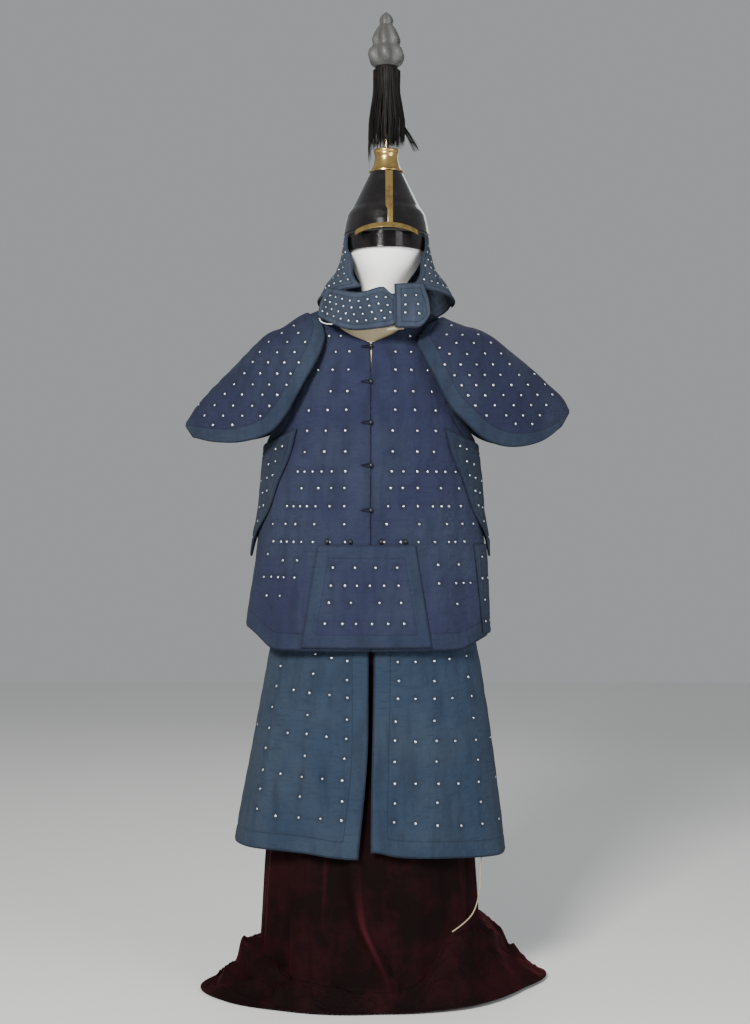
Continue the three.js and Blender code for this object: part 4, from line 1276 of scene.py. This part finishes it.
# The studs that show on a panel, each with its mirror image on the hidden back
def skirtPlaces(surface, side):
    places = []
    for px, py in skirtStuds:
        if (px - skirtOpening) * side < 0:
            continue
        front, away = findOn(surface, seenAt(px, py))
        if away > near:
            continue
        places.append(front)
        p = surface(*front)
        angle = math.atan2(p.x, -p.y) / degree
        back, away = findOn(surface, atAngleZ(side * 180 - angle, p.z, 270))
        if away < near:
            places.append(back)
    return places


skirtCreases = (
    ((-150, 760), (-176, 420), 15, 2.8), ((-92, 800), (-84, 560), 13, 2.2),
    ((-230, 700), (-262, 400), 14, -2.4), ((-48, 520), (-56, 360), 12, 2.4),
    ((70, 790), (88, 500), 13, 2.4), ((156, 780), (190, 440), 15, 2.8),
    ((232, 690), (264, 400), 14, -2.4), ((46, 500), (40, 360), 12, 2.2),
    ((118, 560), (128, 380), 14, -1.8), ((-124, 560), (-138, 370), 14, -1.8),
    ((-150, 728), (-14, 720), 8, 1.6), ((10, 720), (226, 728), 8, 1.6),
    ((8, 478), (60, 484), 8, 1.3), ((-112, 700), (-90, 640), 13, 2.0),
    ((60, 690), (150, 560), 14, 1.6), ((-220, 620), (-120, 540), 14, 1.5),
)


def addSkirt():
    right = skirtPanel(-1)
    left = skirtPanel(1)
    addPanels({
        "steps": (170, 130), "thick": 5, "lift": -5, "round": 4, "edges": ("left", "right", "foot"),
        "border": 38, "creases": skirtCreases, "material": skirtCotton,
        "slot": "grey_blue_cloth", "held": "hung", "restsOn": ("skirt_waistband",),
    }, (
        {"node": "skirt_right", "surface": right, "studs": skirtPlaces(right, -1)},
        {"node": "skirt_left", "surface": left, "studs": skirtPlaces(left, 1)},
    ))


# The helmet's cloth collar

def cheekGuard(side):
    def surface(u, v):
        fromFront = u if side > 0 else 1 - u
        angle = mix(along(cheekFront, "v", v, "angle"), 108, fromFront)
        return collarPoint(side * angle * degree, mix(mix(1634, 1608, fromFront), 1766, v))
    return surface


def napeGuard(u, v):
    middle = math.sin(u * math.pi)
    return collarPoint(mix(109, 251, u) * degree, mix(mix(1612, 1572, middle), 1766, v))


def throatGuard(u, v):
    angle = mix(-62, 9, u)
    low = along(throatRows, "angle", angle, "bottom") - 4 * bell(angle, -31, 13)
    return collarPoint(angle * degree, mix(low, along(throatRows, "angle", angle, "top"), v))


def throatTab(u, v):
    low = 1536 + 34 * max(0, u - 0.55) ** 2 * 4.9
    return collarPoint(mix(6, 32.5, u) * degree, mix(low, mix(1634, 1640, u), v))


# Staggered rows of studs, the gap apart along each row
def staggered(surface, rows, gap, inset):
    places = []
    for row in range(rows):
        v = inset + (1 - 2 * inset) * (row + 0.5) / rows
        arc = arcOf([surface(i / 60, v) for i in range(61)])
        wanted = 16 + (gap / 2 if row % 2 else 0)
        while wanted < arc[-1] - 15:
            i = next(n for n, l in enumerate(arc) if l >= wanted)
            places.append(((i - (arc[i] - wanted) / (arc[i] - arc[i - 1])) / 60, v))
            wanted += gap
    return places


collarCreases = (
    ((-130, 1600), (-60, 1570), 10, 1.6), ((-40, 1610), (10, 1570), 9, 1.5),
    ((60, 1620), (84, 1560), 9, 1.2), ((-70, 1720), (-112, 1640), 10, 1.5),
    ((140, 1720), (186, 1640), 10, 1.5), ((20, 1700), (10, 1600), 12, 1.4),
)
tabStuds = (
    (0.3, 0.72), (0.62, 0.71), (0.28, 0.52), (0.64, 0.52), (0.27, 0.34), (0.66, 0.31),
)


def addCollar():
    cheekRight = cheekGuard(-1)
    cheekLeft = cheekGuard(1)
    closed = ("left", "right", "foot", "top")
    addPanels({
        "thick": 5, "lift": -5, "round": 4, "edges": closed[:3], "border": 14,
        "creases": collarCreases, "material": collarCotton, "studRadius": 2.8,
        "slot": "collar_cloth", "held": "hung", "restsOn": ("helmet_band",),
    }, (
        {"node": "cheek_guard_right", "surface": cheekRight, "steps": (72, 84),
         "studs": staggered(cheekRight, 6, 22, 0.1)},
        {"node": "cheek_guard_left", "surface": cheekLeft, "steps": (72, 84),
         "studs": staggered(cheekLeft, 6, 22, 0.1)},
        {"node": "nape_guard", "surface": napeGuard, "steps": (120, 84),
         "studs": staggered(napeGuard, 7, 22, 0.1)},
        {"node": "throat_guard", "surface": throatGuard, "steps": (110, 50), "lift": 0.6,
         "edges": closed, "studs": staggered(throatGuard, 4, 21, 0.15)},
        {"node": "throat_tab", "surface": throatTab, "steps": (64, 56), "lift": 6.8,
         "edges": closed, "studs": tabStuds},
    ))


# The velvet: a column round the drum and a heap on the floor

velvetTop = 770


def velvetDrift(z):
    return 1 - soft(z, 0, 320)


def velvetPoint(angle, z, lift):
    fold = ridges(velvetFolds, angle / degree, velvetDrift(z)) * mix(1, 0.45, soft(z, 0, velvetTop))
    return pushedOut(ringPoint(velvetRows, angle, z), fold + lift)


# Smaller creases between the main folds, as seen on the column's front
smallFolds = rowsOf("angle drift width rise",
    (-34, 4, 2, 3), (-17, -5, 2, -2.4), (6, 9, 2.2, 2.4), (14, -4, 2, -2.2), (38, 5, 2.4, 2.4),
    (66, -5, 2.6, -2.4), (92, 4, 2.4, 2.4), (120, -6, 2.4, -2.4), (145, 5, 2.4, 2.2),
    (-52, 6, 2.4, -2.2), (-81, -4, 2.2, 2.4), (-104, 5, 2.4, -2.2), (-130, -5, 2.4, 2.2),
    (-155, 4, 2.4, -2.2),
)


def ringSolid(name, section, sides, corners):
    points = []
    for i in range(sides):
        for k in range(corners):
            points.append(section(2 * math.pi * i / sides, k) * mm)
    faces = []
    for i in range(sides):
        for k in range(corners):
            here = i * corners + k
            nextHere = ((i + 1) % sides) * corners + k
            up = i * corners + (k + 1) % corners
            nextUp = ((i + 1) % sides) * corners + (k + 1) % corners
            faces.append((here, nextHere, nextUp, up))
    return meshObject(name, points, faces)


# The slanting crease on the front, as rows of z, angle and how far it stands out
frontCrease = rowsOf("z angle rise width",
    (0, 14, 0, 3), (62, 12, 7, 3), (130, 3, 12, 3.2), (192, -4.5, 13, 3.4), (260, -7.5, 9, 3.6),
    (325, -8.5, 5, 3.6), (780, -9, 0, 4),
)


def slantAt(angle, z):
    away = wrapped(angle - along(frontCrease, "z", z, "angle"))
    width = along(frontCrease, "z", z, "width") * (1 if away < 0 else 0.5)
    return along(frontCrease, "z", z, "rise") * bell(away, 0, width)


# The slanting crease and a sharp upright one beside it
def creaseAt(angle, z):
    side = wrapped(angle + 35 + 1.2 * math.sin(z * 0.012))
    return slantAt(angle, z) + 2.6 * bell(side, 0, 1.2) - 2.4 * bell(side, 2.6, 1.7)


# The heap steps down at its left, in a turned-over fold, and has a shoulder at its right
def heapRise(turn, inwards):
    left = bell(turn, -84, 30)
    right = bell(turn, 98, 26)
    stepped = 0.34 * soft(inwards, -0.05, 0.6) + 0.46 * soft(inwards, 0.56, 0.7)
    shouldered = 0.5 * soft(inwards, -0.1, 0.56) + 0.27 * soft(inwards, 0.5, 0.66)
    shouldered += 0.23 * soft(inwards, 0.62, 1)
    even = soft(inwards, -0.1, 1.02) ** 0.85
    return even * (1 - left - right) + stepped * left + shouldered * right


# Where the column passes into the heap, 6 mm over the heap's own height
def heapHeight(angle):
    return along(heapRows, "angle", wrapped(angle / degree), "height") + 6


def columnAt(angle, z, inset):
    turn = angle / degree
    small = ridges(smallFolds, turn, velvetDrift(z)) * mix(1, 0.3, soft(z, 200, velvetTop))
    sway = 0.8 * math.sin(z * 0.021 + 3 * angle)
    return velvetPoint(angle, z, small + sway + creaseAt(turn, z) - inset)


def heapAt(angle, inwards):
    turn = wrapped(angle / degree)
    reach = along(heapRows, "angle", turn, "reach")
    low = along(heapRows, "angle", turn, "height")
    outer = Vector((math.sin(angle) * reach, -math.cos(angle) * reach, 0))
    crumple = math.sin(9 * angle + 5 * inwards) + 0.7 * math.sin(17 * angle - 7 * inwards)
    swell = 4 * inwards * (1 - inwards)
    rise = mix(5, low + 6, heapRise(turn, inwards))
    bend = 1.6 * math.sin(4 * angle + 3 * inwards) + math.sin(7 * angle)
    first = 1 - abs(math.sin(11 * angle + 4 * inwards + bend))
    second = 1 - abs(math.sin(13 * inwards + 5 * angle + bend))
    tall = min(13, low / 7)
    folds = (first**2.2 - 0.36) * tall + (second**2.2 - 0.36) * tall * 0.8
    point = outer.lerp(columnAt(angle, low + 6, 0), inwards)
    point.z = max(rise + swell * (crumple * min(7, low / 10) + folds), 1)
    return point


# One cloth is wound round the drum and its spare length lies in a heap on the floor
def addVelvet():
    levels = 70
    rings = 56
    sides = 360
    thick = 3
    line = levels + rings

    # k runs down the outside of the column, out over the heap, and back underneath
    def section(angle, k):
        under = k > line
        step = 2 * line + 1 - k if under else k
        if step <= levels:
            z = mix(velvetTop, heapHeight(angle), step / levels)
            return columnAt(angle, z, thick if under else 0)
        inwards = 1 - (step - levels) / rings
        top = heapAt(angle, inwards)
        if not under:
            return top
        inside = pushedOut(top, -thick * soft(inwards, 0.75, 1))
        inside.z = max(0.3, top.z - thick * (1 - soft(inwards, 0.85, 1)))
        return inside

    drape = ringSolid("velvet", section, sides, 2 * line + 2)
    editStart(drape)
    editEnd(80)
    # A painted sheen highlight along the slanting crease and the sharp upright crease, strongest where the crease
    # stands out most
    sheenAlongCrease = []
    for vertex in drape.data.vertices:
        place = vertex.co / mm
        turn = math.atan2(place.x, -place.y) / degree
        fine = 0.4 * bell(turn, -34, 1.3) * soft(place.z, 150, 320)
        sheenAlongCrease.append(max(fine, clamp(slantAt(turn, place.z) / 13, 0, 1) ** 2.3))
    addAttribute(drape.data, "ridge", sheenAlongCrease)
    finishPiece(drape, makeVelvet(), "velvet", "stand_drape", "drape_heap")
    # The cut is as long as the way down the column and over the heap, and as wide as its area asks
    area = sum(p.area for p in drape.data.polygons) / 2
    ways = []
    for turn in range(0, 360, 30):
        ways.append(arcOf([section(turn * degree, k) * mm for k in range(line + 1)])[-1])
    length = sum(ways) / len(ways)
    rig.sheet(
        drape,
        flat=(area / length, length),
        held="draped",
        rests_on=("stand_drum",),
        area=area,
    )
    print("velvet", round(area, 3), round(length, 3), len(drape.data.polygons))


# The string that hangs inside the skirt, and the one at the collar

# The skirt's string is sewn on this far inside the skirt's outer face
tieInset = 9.16
tieRoute = (
    (250, -108, 305), (249, -112, 266), (242, -120, 230), (229, -130, 204), (206, -140, 184),
    (184, -147, 170),
)
collarRoute = ((-119, -78, 1566), (-114, -92, 1557), (-102, -104, 1551), (-88, -114, 1549))


# A smooth string through a few places in metres
def addString(name, route, diameter, material, *nodes):
    curve = bpy.data.curves.new(name, "CURVE")
    curve.dimensions = "3D"
    curve.bevel_depth = diameter / 2
    curve.bevel_resolution = 3
    spline = curve.splines.new("POLY")
    fine = []
    steps = 6
    for i in range(len(route) - 1):
        start = route[i]
        end = route[i + 1]
        a = (end - route[max(i - 1, 0)]) * 0.5
        b = (route[min(i + 2, len(route) - 1)] - start) * 0.5
        for k in range(steps):
            t = k / steps
            first = start * (2 * t**3 - 3 * t**2 + 1) + a * (t**3 - 2 * t**2 + t)
            fine.append(first + end * (3 * t**2 - 2 * t**3) + b * (t**3 - t**2))
    fine.append(route[-1])
    spline.points.add(len(fine) - 1)
    for point, place in zip(spline.points, fine):
        point.co = (*place, 1)
    string = finishPiece(newObject(name, curve), material, "string", *nodes)
    length = arcOf(fine)[-1]
    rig.cord(string, exit=fine[0], length=length, diameter=diameter, far_end="bare", lay="hanging")
    print(name, round(length, 3))


def addStrings():
    sewn = [pushedOut(skirtPoint(55 * degree, z), -tieInset) for z in (372, 342)]
    route = [p * mm for p in sewn] + [Vector(p) * mm for p in tieRoute]
    addString("skirt_string", route, 0.0028, beigeString, "skirt_tie")
    route = [Vector(p) * mm for p in collarRoute]
    addString("collar_string", route, 0.0022, whiteString)


# The end of a chin strap shows under the throat guard
def addChinStrap():
    def strap(u, v):
        return collarPoint(mix(0, 13, u) * degree, mix(1531, 1551, v) + 3 * u)

    piece, wide, long, area = clothWall("chin_strap", strap, {
        "steps": (24, 12), "thick": 2, "lift": -4, "round": 2, "edges": ("foot",),
    })
    finishPiece(piece, beigeString, "string")
    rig.sheet(piece, flat=(wide, long), held="hung", rests_on=("throat_guard_cloth",))


# Hard pieces, shaped in edit mode

# rings are (radius, z), with an x and a front-to-back stretch that a ring may carry for itself;
# closed says whether the foot and the top get a face
def turnedPiece(name, rings, closed=(True, True), smooth=40, long=1, sides=96):
    rings = [(*ring, helmetX, long)[:4] for ring in rings]
    radius, z, x, stretch = rings[0]
    bpy.ops.mesh.primitive_circle_add(
        vertices=sides, radius=radius * mm, fill_type="NOTHING", location=(x * mm, 0, z * mm))
    piece = bpy.context.object
    piece.name = name
    editStart(piece)
    bpy.ops.mesh.select_all(action="SELECT")
    bpy.ops.transform.resize(value=(1, stretch, 1), center_override=piece.location)
    if closed[0]:
        bpy.ops.mesh.edge_face_add()
        bpy.ops.mesh.select_all(action="SELECT")
    middle = piece.location.copy()
    for last, ring in zip(rings, rings[1:]):
        move = Vector((ring[2] * mm - middle.x, 0, (ring[1] - last[1]) * mm))
        bpy.ops.mesh.extrude_edges_move(TRANSFORM_OT_translate={"value": move})
        middle += move
        grown = ring[0] / last[0]
        bpy.ops.transform.resize(value=(grown, grown * ring[3] / last[3], 1), center_override=middle)
    if closed[1]:
        bpy.ops.mesh.edge_face_add()
    editEnd(smooth)
    return piece


# Heights from low to high, evenly
def levelsOf(low, high, count):
    return [mix(low, high, i / (count - 1)) for i in range(count)]


headRows = rowsOf("z x wide deep",
    (1612, 16, 47, 55), (1634, 24, 46, 58), (1660, 29, 56, 70), (1692, 33, 75, 86),
    (1730, 36, 87.6, 96.4), (1780, 36, 88.6, 97.4), (1812, 36, 85, 93.5), (1834, 36, 76.3, 83.9),
    (1852, 36, 58, 64), (1864, 36, 34, 38),
)


def addHead():
    rings = []
    for z in levelsOf(1612, 1864, 64):
        wide = along(headRows, "z", z, "wide")
        rings.append((wide, z, along(headRows, "z", z, "x"), along(headRows, "z", z, "deep") / wide))
    head = turnedPiece("head_form", rings, smooth=50, sides=72)
    finishPiece(head, formWhite, "white_form", "stand_head")


def addBowl():
    bowl = [(bowlRadius(z), z) for z in levelsOf(1771, 1917, 80)]
    inside = [(radius - 2.5, min(z, 1914.5)) for radius, z in reversed(bowl[:-2])]
    outer = turnedPiece("bowl", bowl, (False, True), 22, helmetLong)
    liner = turnedPiece("bowl_inside", inside, (True, False), 22, helmetLong)
    selectOnly(outer, liner)
    bpy.ops.object.join()
    bpy.ops.object.mode_set(mode="EDIT")
    bpy.ops.mesh.select_all(action="DESELECT")
    bpy.ops.mesh.select_mode(type="EDGE")
    bpy.ops.mesh.select_non_manifold()
    bpy.ops.mesh.bridge_edge_loops()
    editEnd(22)
    finishPiece(outer, lacquer, "black_lacquer", "helmet_bowl")


# The band's profile is closed: its last ring lies on its first one
def addBand():
    profile = [(90.5, 1728), (93.0, 1728), (93.4, 1729.2)]
    for i in range(13):
        z = 1731 + 2.8 * i
        profile += [(93.2, z), (92.5, z + 0.9), (92.5, z + 1.3), (93.2, z + 2.0)]
    profile += [(93.4, 1768), (95.2, 1769.8), (96.7, 1771.6), (96.9, 1773.5), (96.2, 1778)]
    profile += [(95.2, 1780), (94.1, 1779.4), (90.5, 1772), (90.5, 1728.01)]
    band = turnedPiece("band", profile, (False, False), 40, helmetLong, 128)
    editStart(band)
    bpy.ops.mesh.select_all(action="SELECT")
    bpy.ops.mesh.remove_doubles(threshold=0.00003)
    editEnd()
    finishPiece(band, lacquer, "black_lacquer", "helmet_band")


def addSocket():
    socket = [(40.2, 1917.3), (41, 1918), (41, 1920.4), (40.3, 1921.2), (37.6, 1922)]
    socket += [(36.6, 1923.4), (36, 1925)]
    socket += [(mix(36, 28.5, (k / 8) ** 0.62), mix(1925, 1944, k / 8)) for k in range(1, 9)]
    socket += [(27.4, 1950), (27, 1957), (28.2, 1959), (28.4, 1961), (28, 1963), (29.6, 1965)]
    socket += [(30.2, 1967), (29.8, 1969.6), (29, 1971), (12, 1971)]
    made = turnedPiece("socket", socket, sides=80)
    finishPiece(made, brassMetal, "brass", "helmet_socket")
    made = turnedPiece("rod", [(3.2, 1971.6), (3.2, 2098), (3.2, 2099.4)], sides=20)
    finishPiece(made, brassMetal, "brass", "plume_rod")


# A flat grid bent to a surface, then given its thickness and rounded edges
def bentPlate(name, surface, steps, thick):
    bpy.ops.object.select_all(action="DESELECT")
    bpy.ops.mesh.primitive_grid_add(x_subdivisions=steps[0], y_subdivisions=steps[1], size=1)
    plate = bpy.context.object
    plate.name = name
    for vertex in plate.data.vertices:
        vertex.co = surface(vertex.co.x + 0.5, vertex.co.y + 0.5) * mm
    wall = plate.modifiers.new("wall", "SOLIDIFY")
    wall.thickness = thick * mm
    wall.offset = 1
    edge = plate.modifiers.new("edge", "BEVEL")
    edge.width = 0.3 * thick * mm
    edge.segments = 2
    edge.limit_method = "ANGLE"
    edge.angle_limit = 50 * degree
    bpy.ops.object.modifier_apply(modifier="wall")
    bpy.ops.object.modifier_apply(modifier="edge")
    editStart(plate)
    editEnd()
    return plate


# The strips run down the bowl; the front one narrows to one side below the bowl's shoulder
def helmetStrip(middle, aside):
    def surface(u, v):
        z = mix(1779 if aside else 1796, 1915, v)
        lower = 1 - soft(z, 1812, 1824)
        across = mix(-1, 1, u) * mix(8.6, 6, lower * aside) + aside * mix(6, 8.5, lower)
        radius = bowlRadius(z) + 0.9
        return aroundHelmet(middle + across / radius, radius, radius * helmetLong, z)
    return surface


def helmetBrow(u, v):
    half = 44 * degree
    angle = mix(-half, half, u)
    radius = bowlRadius(1776) + 1.8 + 7 * (1 - v) * math.cos(angle * 1.7)
    z = 1782 - 12 * (1 - v) - 13 * (angle / half) ** 2
    return aroundHelmet(angle, radius, radius * helmetLong, z)


def addStraps():
    plates = (
        {"node": "helmet_front_strip", "surface": helmetStrip(0, 1), "steps": (10, 80), "thick": 1.8},
        {"node": "helmet_back_strip", "surface": helmetStrip(math.pi, 0), "steps": (10, 80),
         "thick": 1.8},
        {"node": "helmet_brow", "surface": helmetBrow, "steps": (80, 8), "thick": 2.2},
    )
    for plate in plates:
        made = bentPlate(plate["node"] + "_plate", plate["surface"], plate["steps"], plate["thick"])
        finishPiece(made, brassMetal, "brass", plate["node"])


# Ball buttons with their knotted loops: (z or x, how far the ball sinks in) in millimetres

coatButtons = ((1498, 0.4), (1416, 1.4), (1323, 0.9), (1226, 0.2), (1124, 0.2))
flapButtons = ((-98, 0.2), (-46, 0.3), (23, 0.7), (78, 0.7))
ballRadius = 4.7


def addButton(node, angle, z, sink, reach):
    middle = lifted(coatPoint, angle, z, ballRadius + 0.5 - sink) * mm
    bpy.ops.mesh.primitive_uv_sphere_add(
        segments=28, ring_count=16, radius=ballRadius * mm, location=middle)
    ball = bpy.context.object
    ball.name = node + "_ball"
    bpy.ops.mesh.primitive_torus_add(
        major_segments=28, minor_segments=8, major_radius=0.0044, minor_radius=0.0005,
        location=middle, rotation=(quarter, 0, 0))
    selectOnly(ball, bpy.context.object)
    bpy.ops.object.join()
    editStart(ball)
    editEnd(60)
    finishPiece(ball, bronzeMetal, "dark_bronze", node)
    normal = (lifted(coatPoint, angle, z, 6) - lifted(coatPoint, angle, z, 0)).normalized()
    addLoop(node + "_loop", middle, normal, Vector(reach))


# Strands of (place, thickness) in millimetres, made as curves and turned into one mesh
def strandMesh(name, strands, fineness=0):
    curve = bpy.data.curves.new(name, "CURVE")
    curve.dimensions = "3D"
    curve.bevel_depth = mm
    curve.bevel_resolution = fineness
    curve.use_fill_caps = True
    for strand in strands:
        spline = curve.splines.new("POLY")
        spline.points.add(len(strand) - 1)
        for point, (place, thick) in zip(spline.points, strand):
            point.co = (*(place * mm), 1)
            point.radius = thick
    selectOnly(newObject(name, curve))
    bpy.ops.object.convert(target="MESH")
    made = bpy.context.object
    editStart(made)
    editEnd(70)
    return made


# A cloth loop that lies from the ball to where it is sewn down, reach away in millimetres
def addLoop(name, middle, normal, reach):
    side = reach.normalized()
    across = normal.cross(side).normalized()
    base = middle / mm - normal * 3
    line = []
    for k in range(41):
        turn = 2 * math.pi * k / 40
        far = (1 - math.cos(turn)) / 2
        wide = 4.6 * math.sin(turn) * mix(1, 0.3, far)
        line.append((base + side * mix(-5.2, reach.length, far) + across * wide, 1.1))
    finishPiece(strandMesh(name, [line], 2), loopCotton, "grey_blue_cloth")


def addButtons():
    for i, (z, sink) in enumerate(coatButtons):
        addButton(f"coat_button_{i + 1}", 0, z, sink, (-22, 0, 0))
    for i, (x, sink) in enumerate(flapButtons):
        addButton(f"flap_button_{i + 1}", angleAtX(x, 1045), 1053, sink, (0, 0, -14))


# The plume: a narrow core, hundreds of fine locks that fall over it and a few that stray

def addPlume():
    bound = [(24, 2100), (26, 2104), (27, 2110), (28, 2118), (28.6, 2132), (28.6, 2146), (28, 2156)]
    bound += [(26.4, 2162), (25, 2165.4)]
    core = turnedPiece("plume_core", bound, sides=64)
    finishPiece(core, hair, "plume_hair", "plume")
    locks = []
    for number in range(520):
        outside = number % 2 == 0
        angle = random.uniform(0, 360)
        root = random.uniform(28, 31) if outside else random.uniform(10, 27)
        length = random.uniform(158, 182)
        length += random.uniform(6, 58) * bell(angle, 270, 34) if outside else 0
        sway = random.uniform(-9, 9)
        wave = random.uniform(0, 6.3)
        thick = random.uniform(0.8, 1.7)
        spread = 0.4 if outside else 0.22
        strand = []
        for k in range(11):
            t = k / 10
            out = root * (1 + spread * soft(t, 0.22, 0.8)) + 0.9 * math.sin(wave + 9 * t)
            turn = (angle + sway * t * t + 2 * math.sin(wave + 6 * t)) * degree
            place = aroundHelmet(turn, out, out, 2158 - length * t)
            strand.append((place, thick * (1 - 0.8 * t**2.2)))
        locks.append(strand)
    for number in range(34):
        turn = random.uniform(68, 112) * degree
        away = random.uniform(26, 40)
        thick = random.uniform(0.7, 1.4)
        strand = []
        for k in range(11):
            t = k / 10
            out = mix(30, 38, t) + away * soft(t, 0.55, 1.1) * 1.15
            place = aroundHelmet(turn, out, out, 2150 - 178 * t)
            strand.append((place, thick * (1 - 0.85 * t**3)))
        locks.append(strand)
    finishPiece(strandMesh("plume_locks", locks), hair, "plume_hair")


# The finial rises in three tiers, each drawn in at its foot
finialRows = rowsOf("z radius lobe",
    (2166, 27, 0.02), (2176, 37, 0.08), (2190, 41.5, 0.11), (2204, 39, 0.11), (2216, 31, 0.08),
    (2230, 31.5, 0.11), (2246, 26, 0.1), (2258, 20, 0.08), (2266, 15, 0.05), (2276, 15.5, 0.07),
    (2287, 11, 0.05), (2295, 1.5, 0.02),
)


def addFinial():
    low = finialRows[0]["z"]
    rings = []
    for z in levelsOf(low, finialRows[-1]["z"], 96):
        rings.append((along(finialRows, "z", z, "radius"), z))
    finial = turnedPiece("finial_lobes", rings, smooth=50, sides=120)
    for vertex in finial.data.vertices:
        z = vertex.co.z / mm
        x = vertex.co.x - helmetX * mm
        angle = math.atan2(x, -vertex.co.y)
        lobe = along(finialRows, "z", z, "lobe") * math.cos(6 * angle + 0.02 * (z - low))
        vertex.co.x = helmetX * mm + x * (1 + lobe)
        vertex.co.y *= 1 + lobe
    finishPiece(finial, horn, "finial_horn", "finial")


# Solids that stay as they are get a finish of their own
def dressKept():
    finishes = {"stand_drum": boardFace, "stand_torso": canvasCloth, "skirt_waistband": canvasCloth}
    for node, material in finishes.items():
        solid = bpy.data.objects[node]
        solid.data.materials.clear()
        solid.data.materials.append(material)


addCamera()
addStrings()
addStudio()
print("studio done")
addCoat()
addFlaps()
addShoulderGuards()
addSkirt()
addCollar()
print("cloth done")
addVelvet()
addChinStrap()
print("velvet done")
addHead()
addBowl()
addBand()
addSocket()
addStraps()
addButtons()
addPlume()
addFinial()
dressKept()
print("hard pieces done")
json.dump({"cad": [list(v) for v in cadBox], "visual": [list(v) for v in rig.bounds()]}, open("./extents.json", "w"))
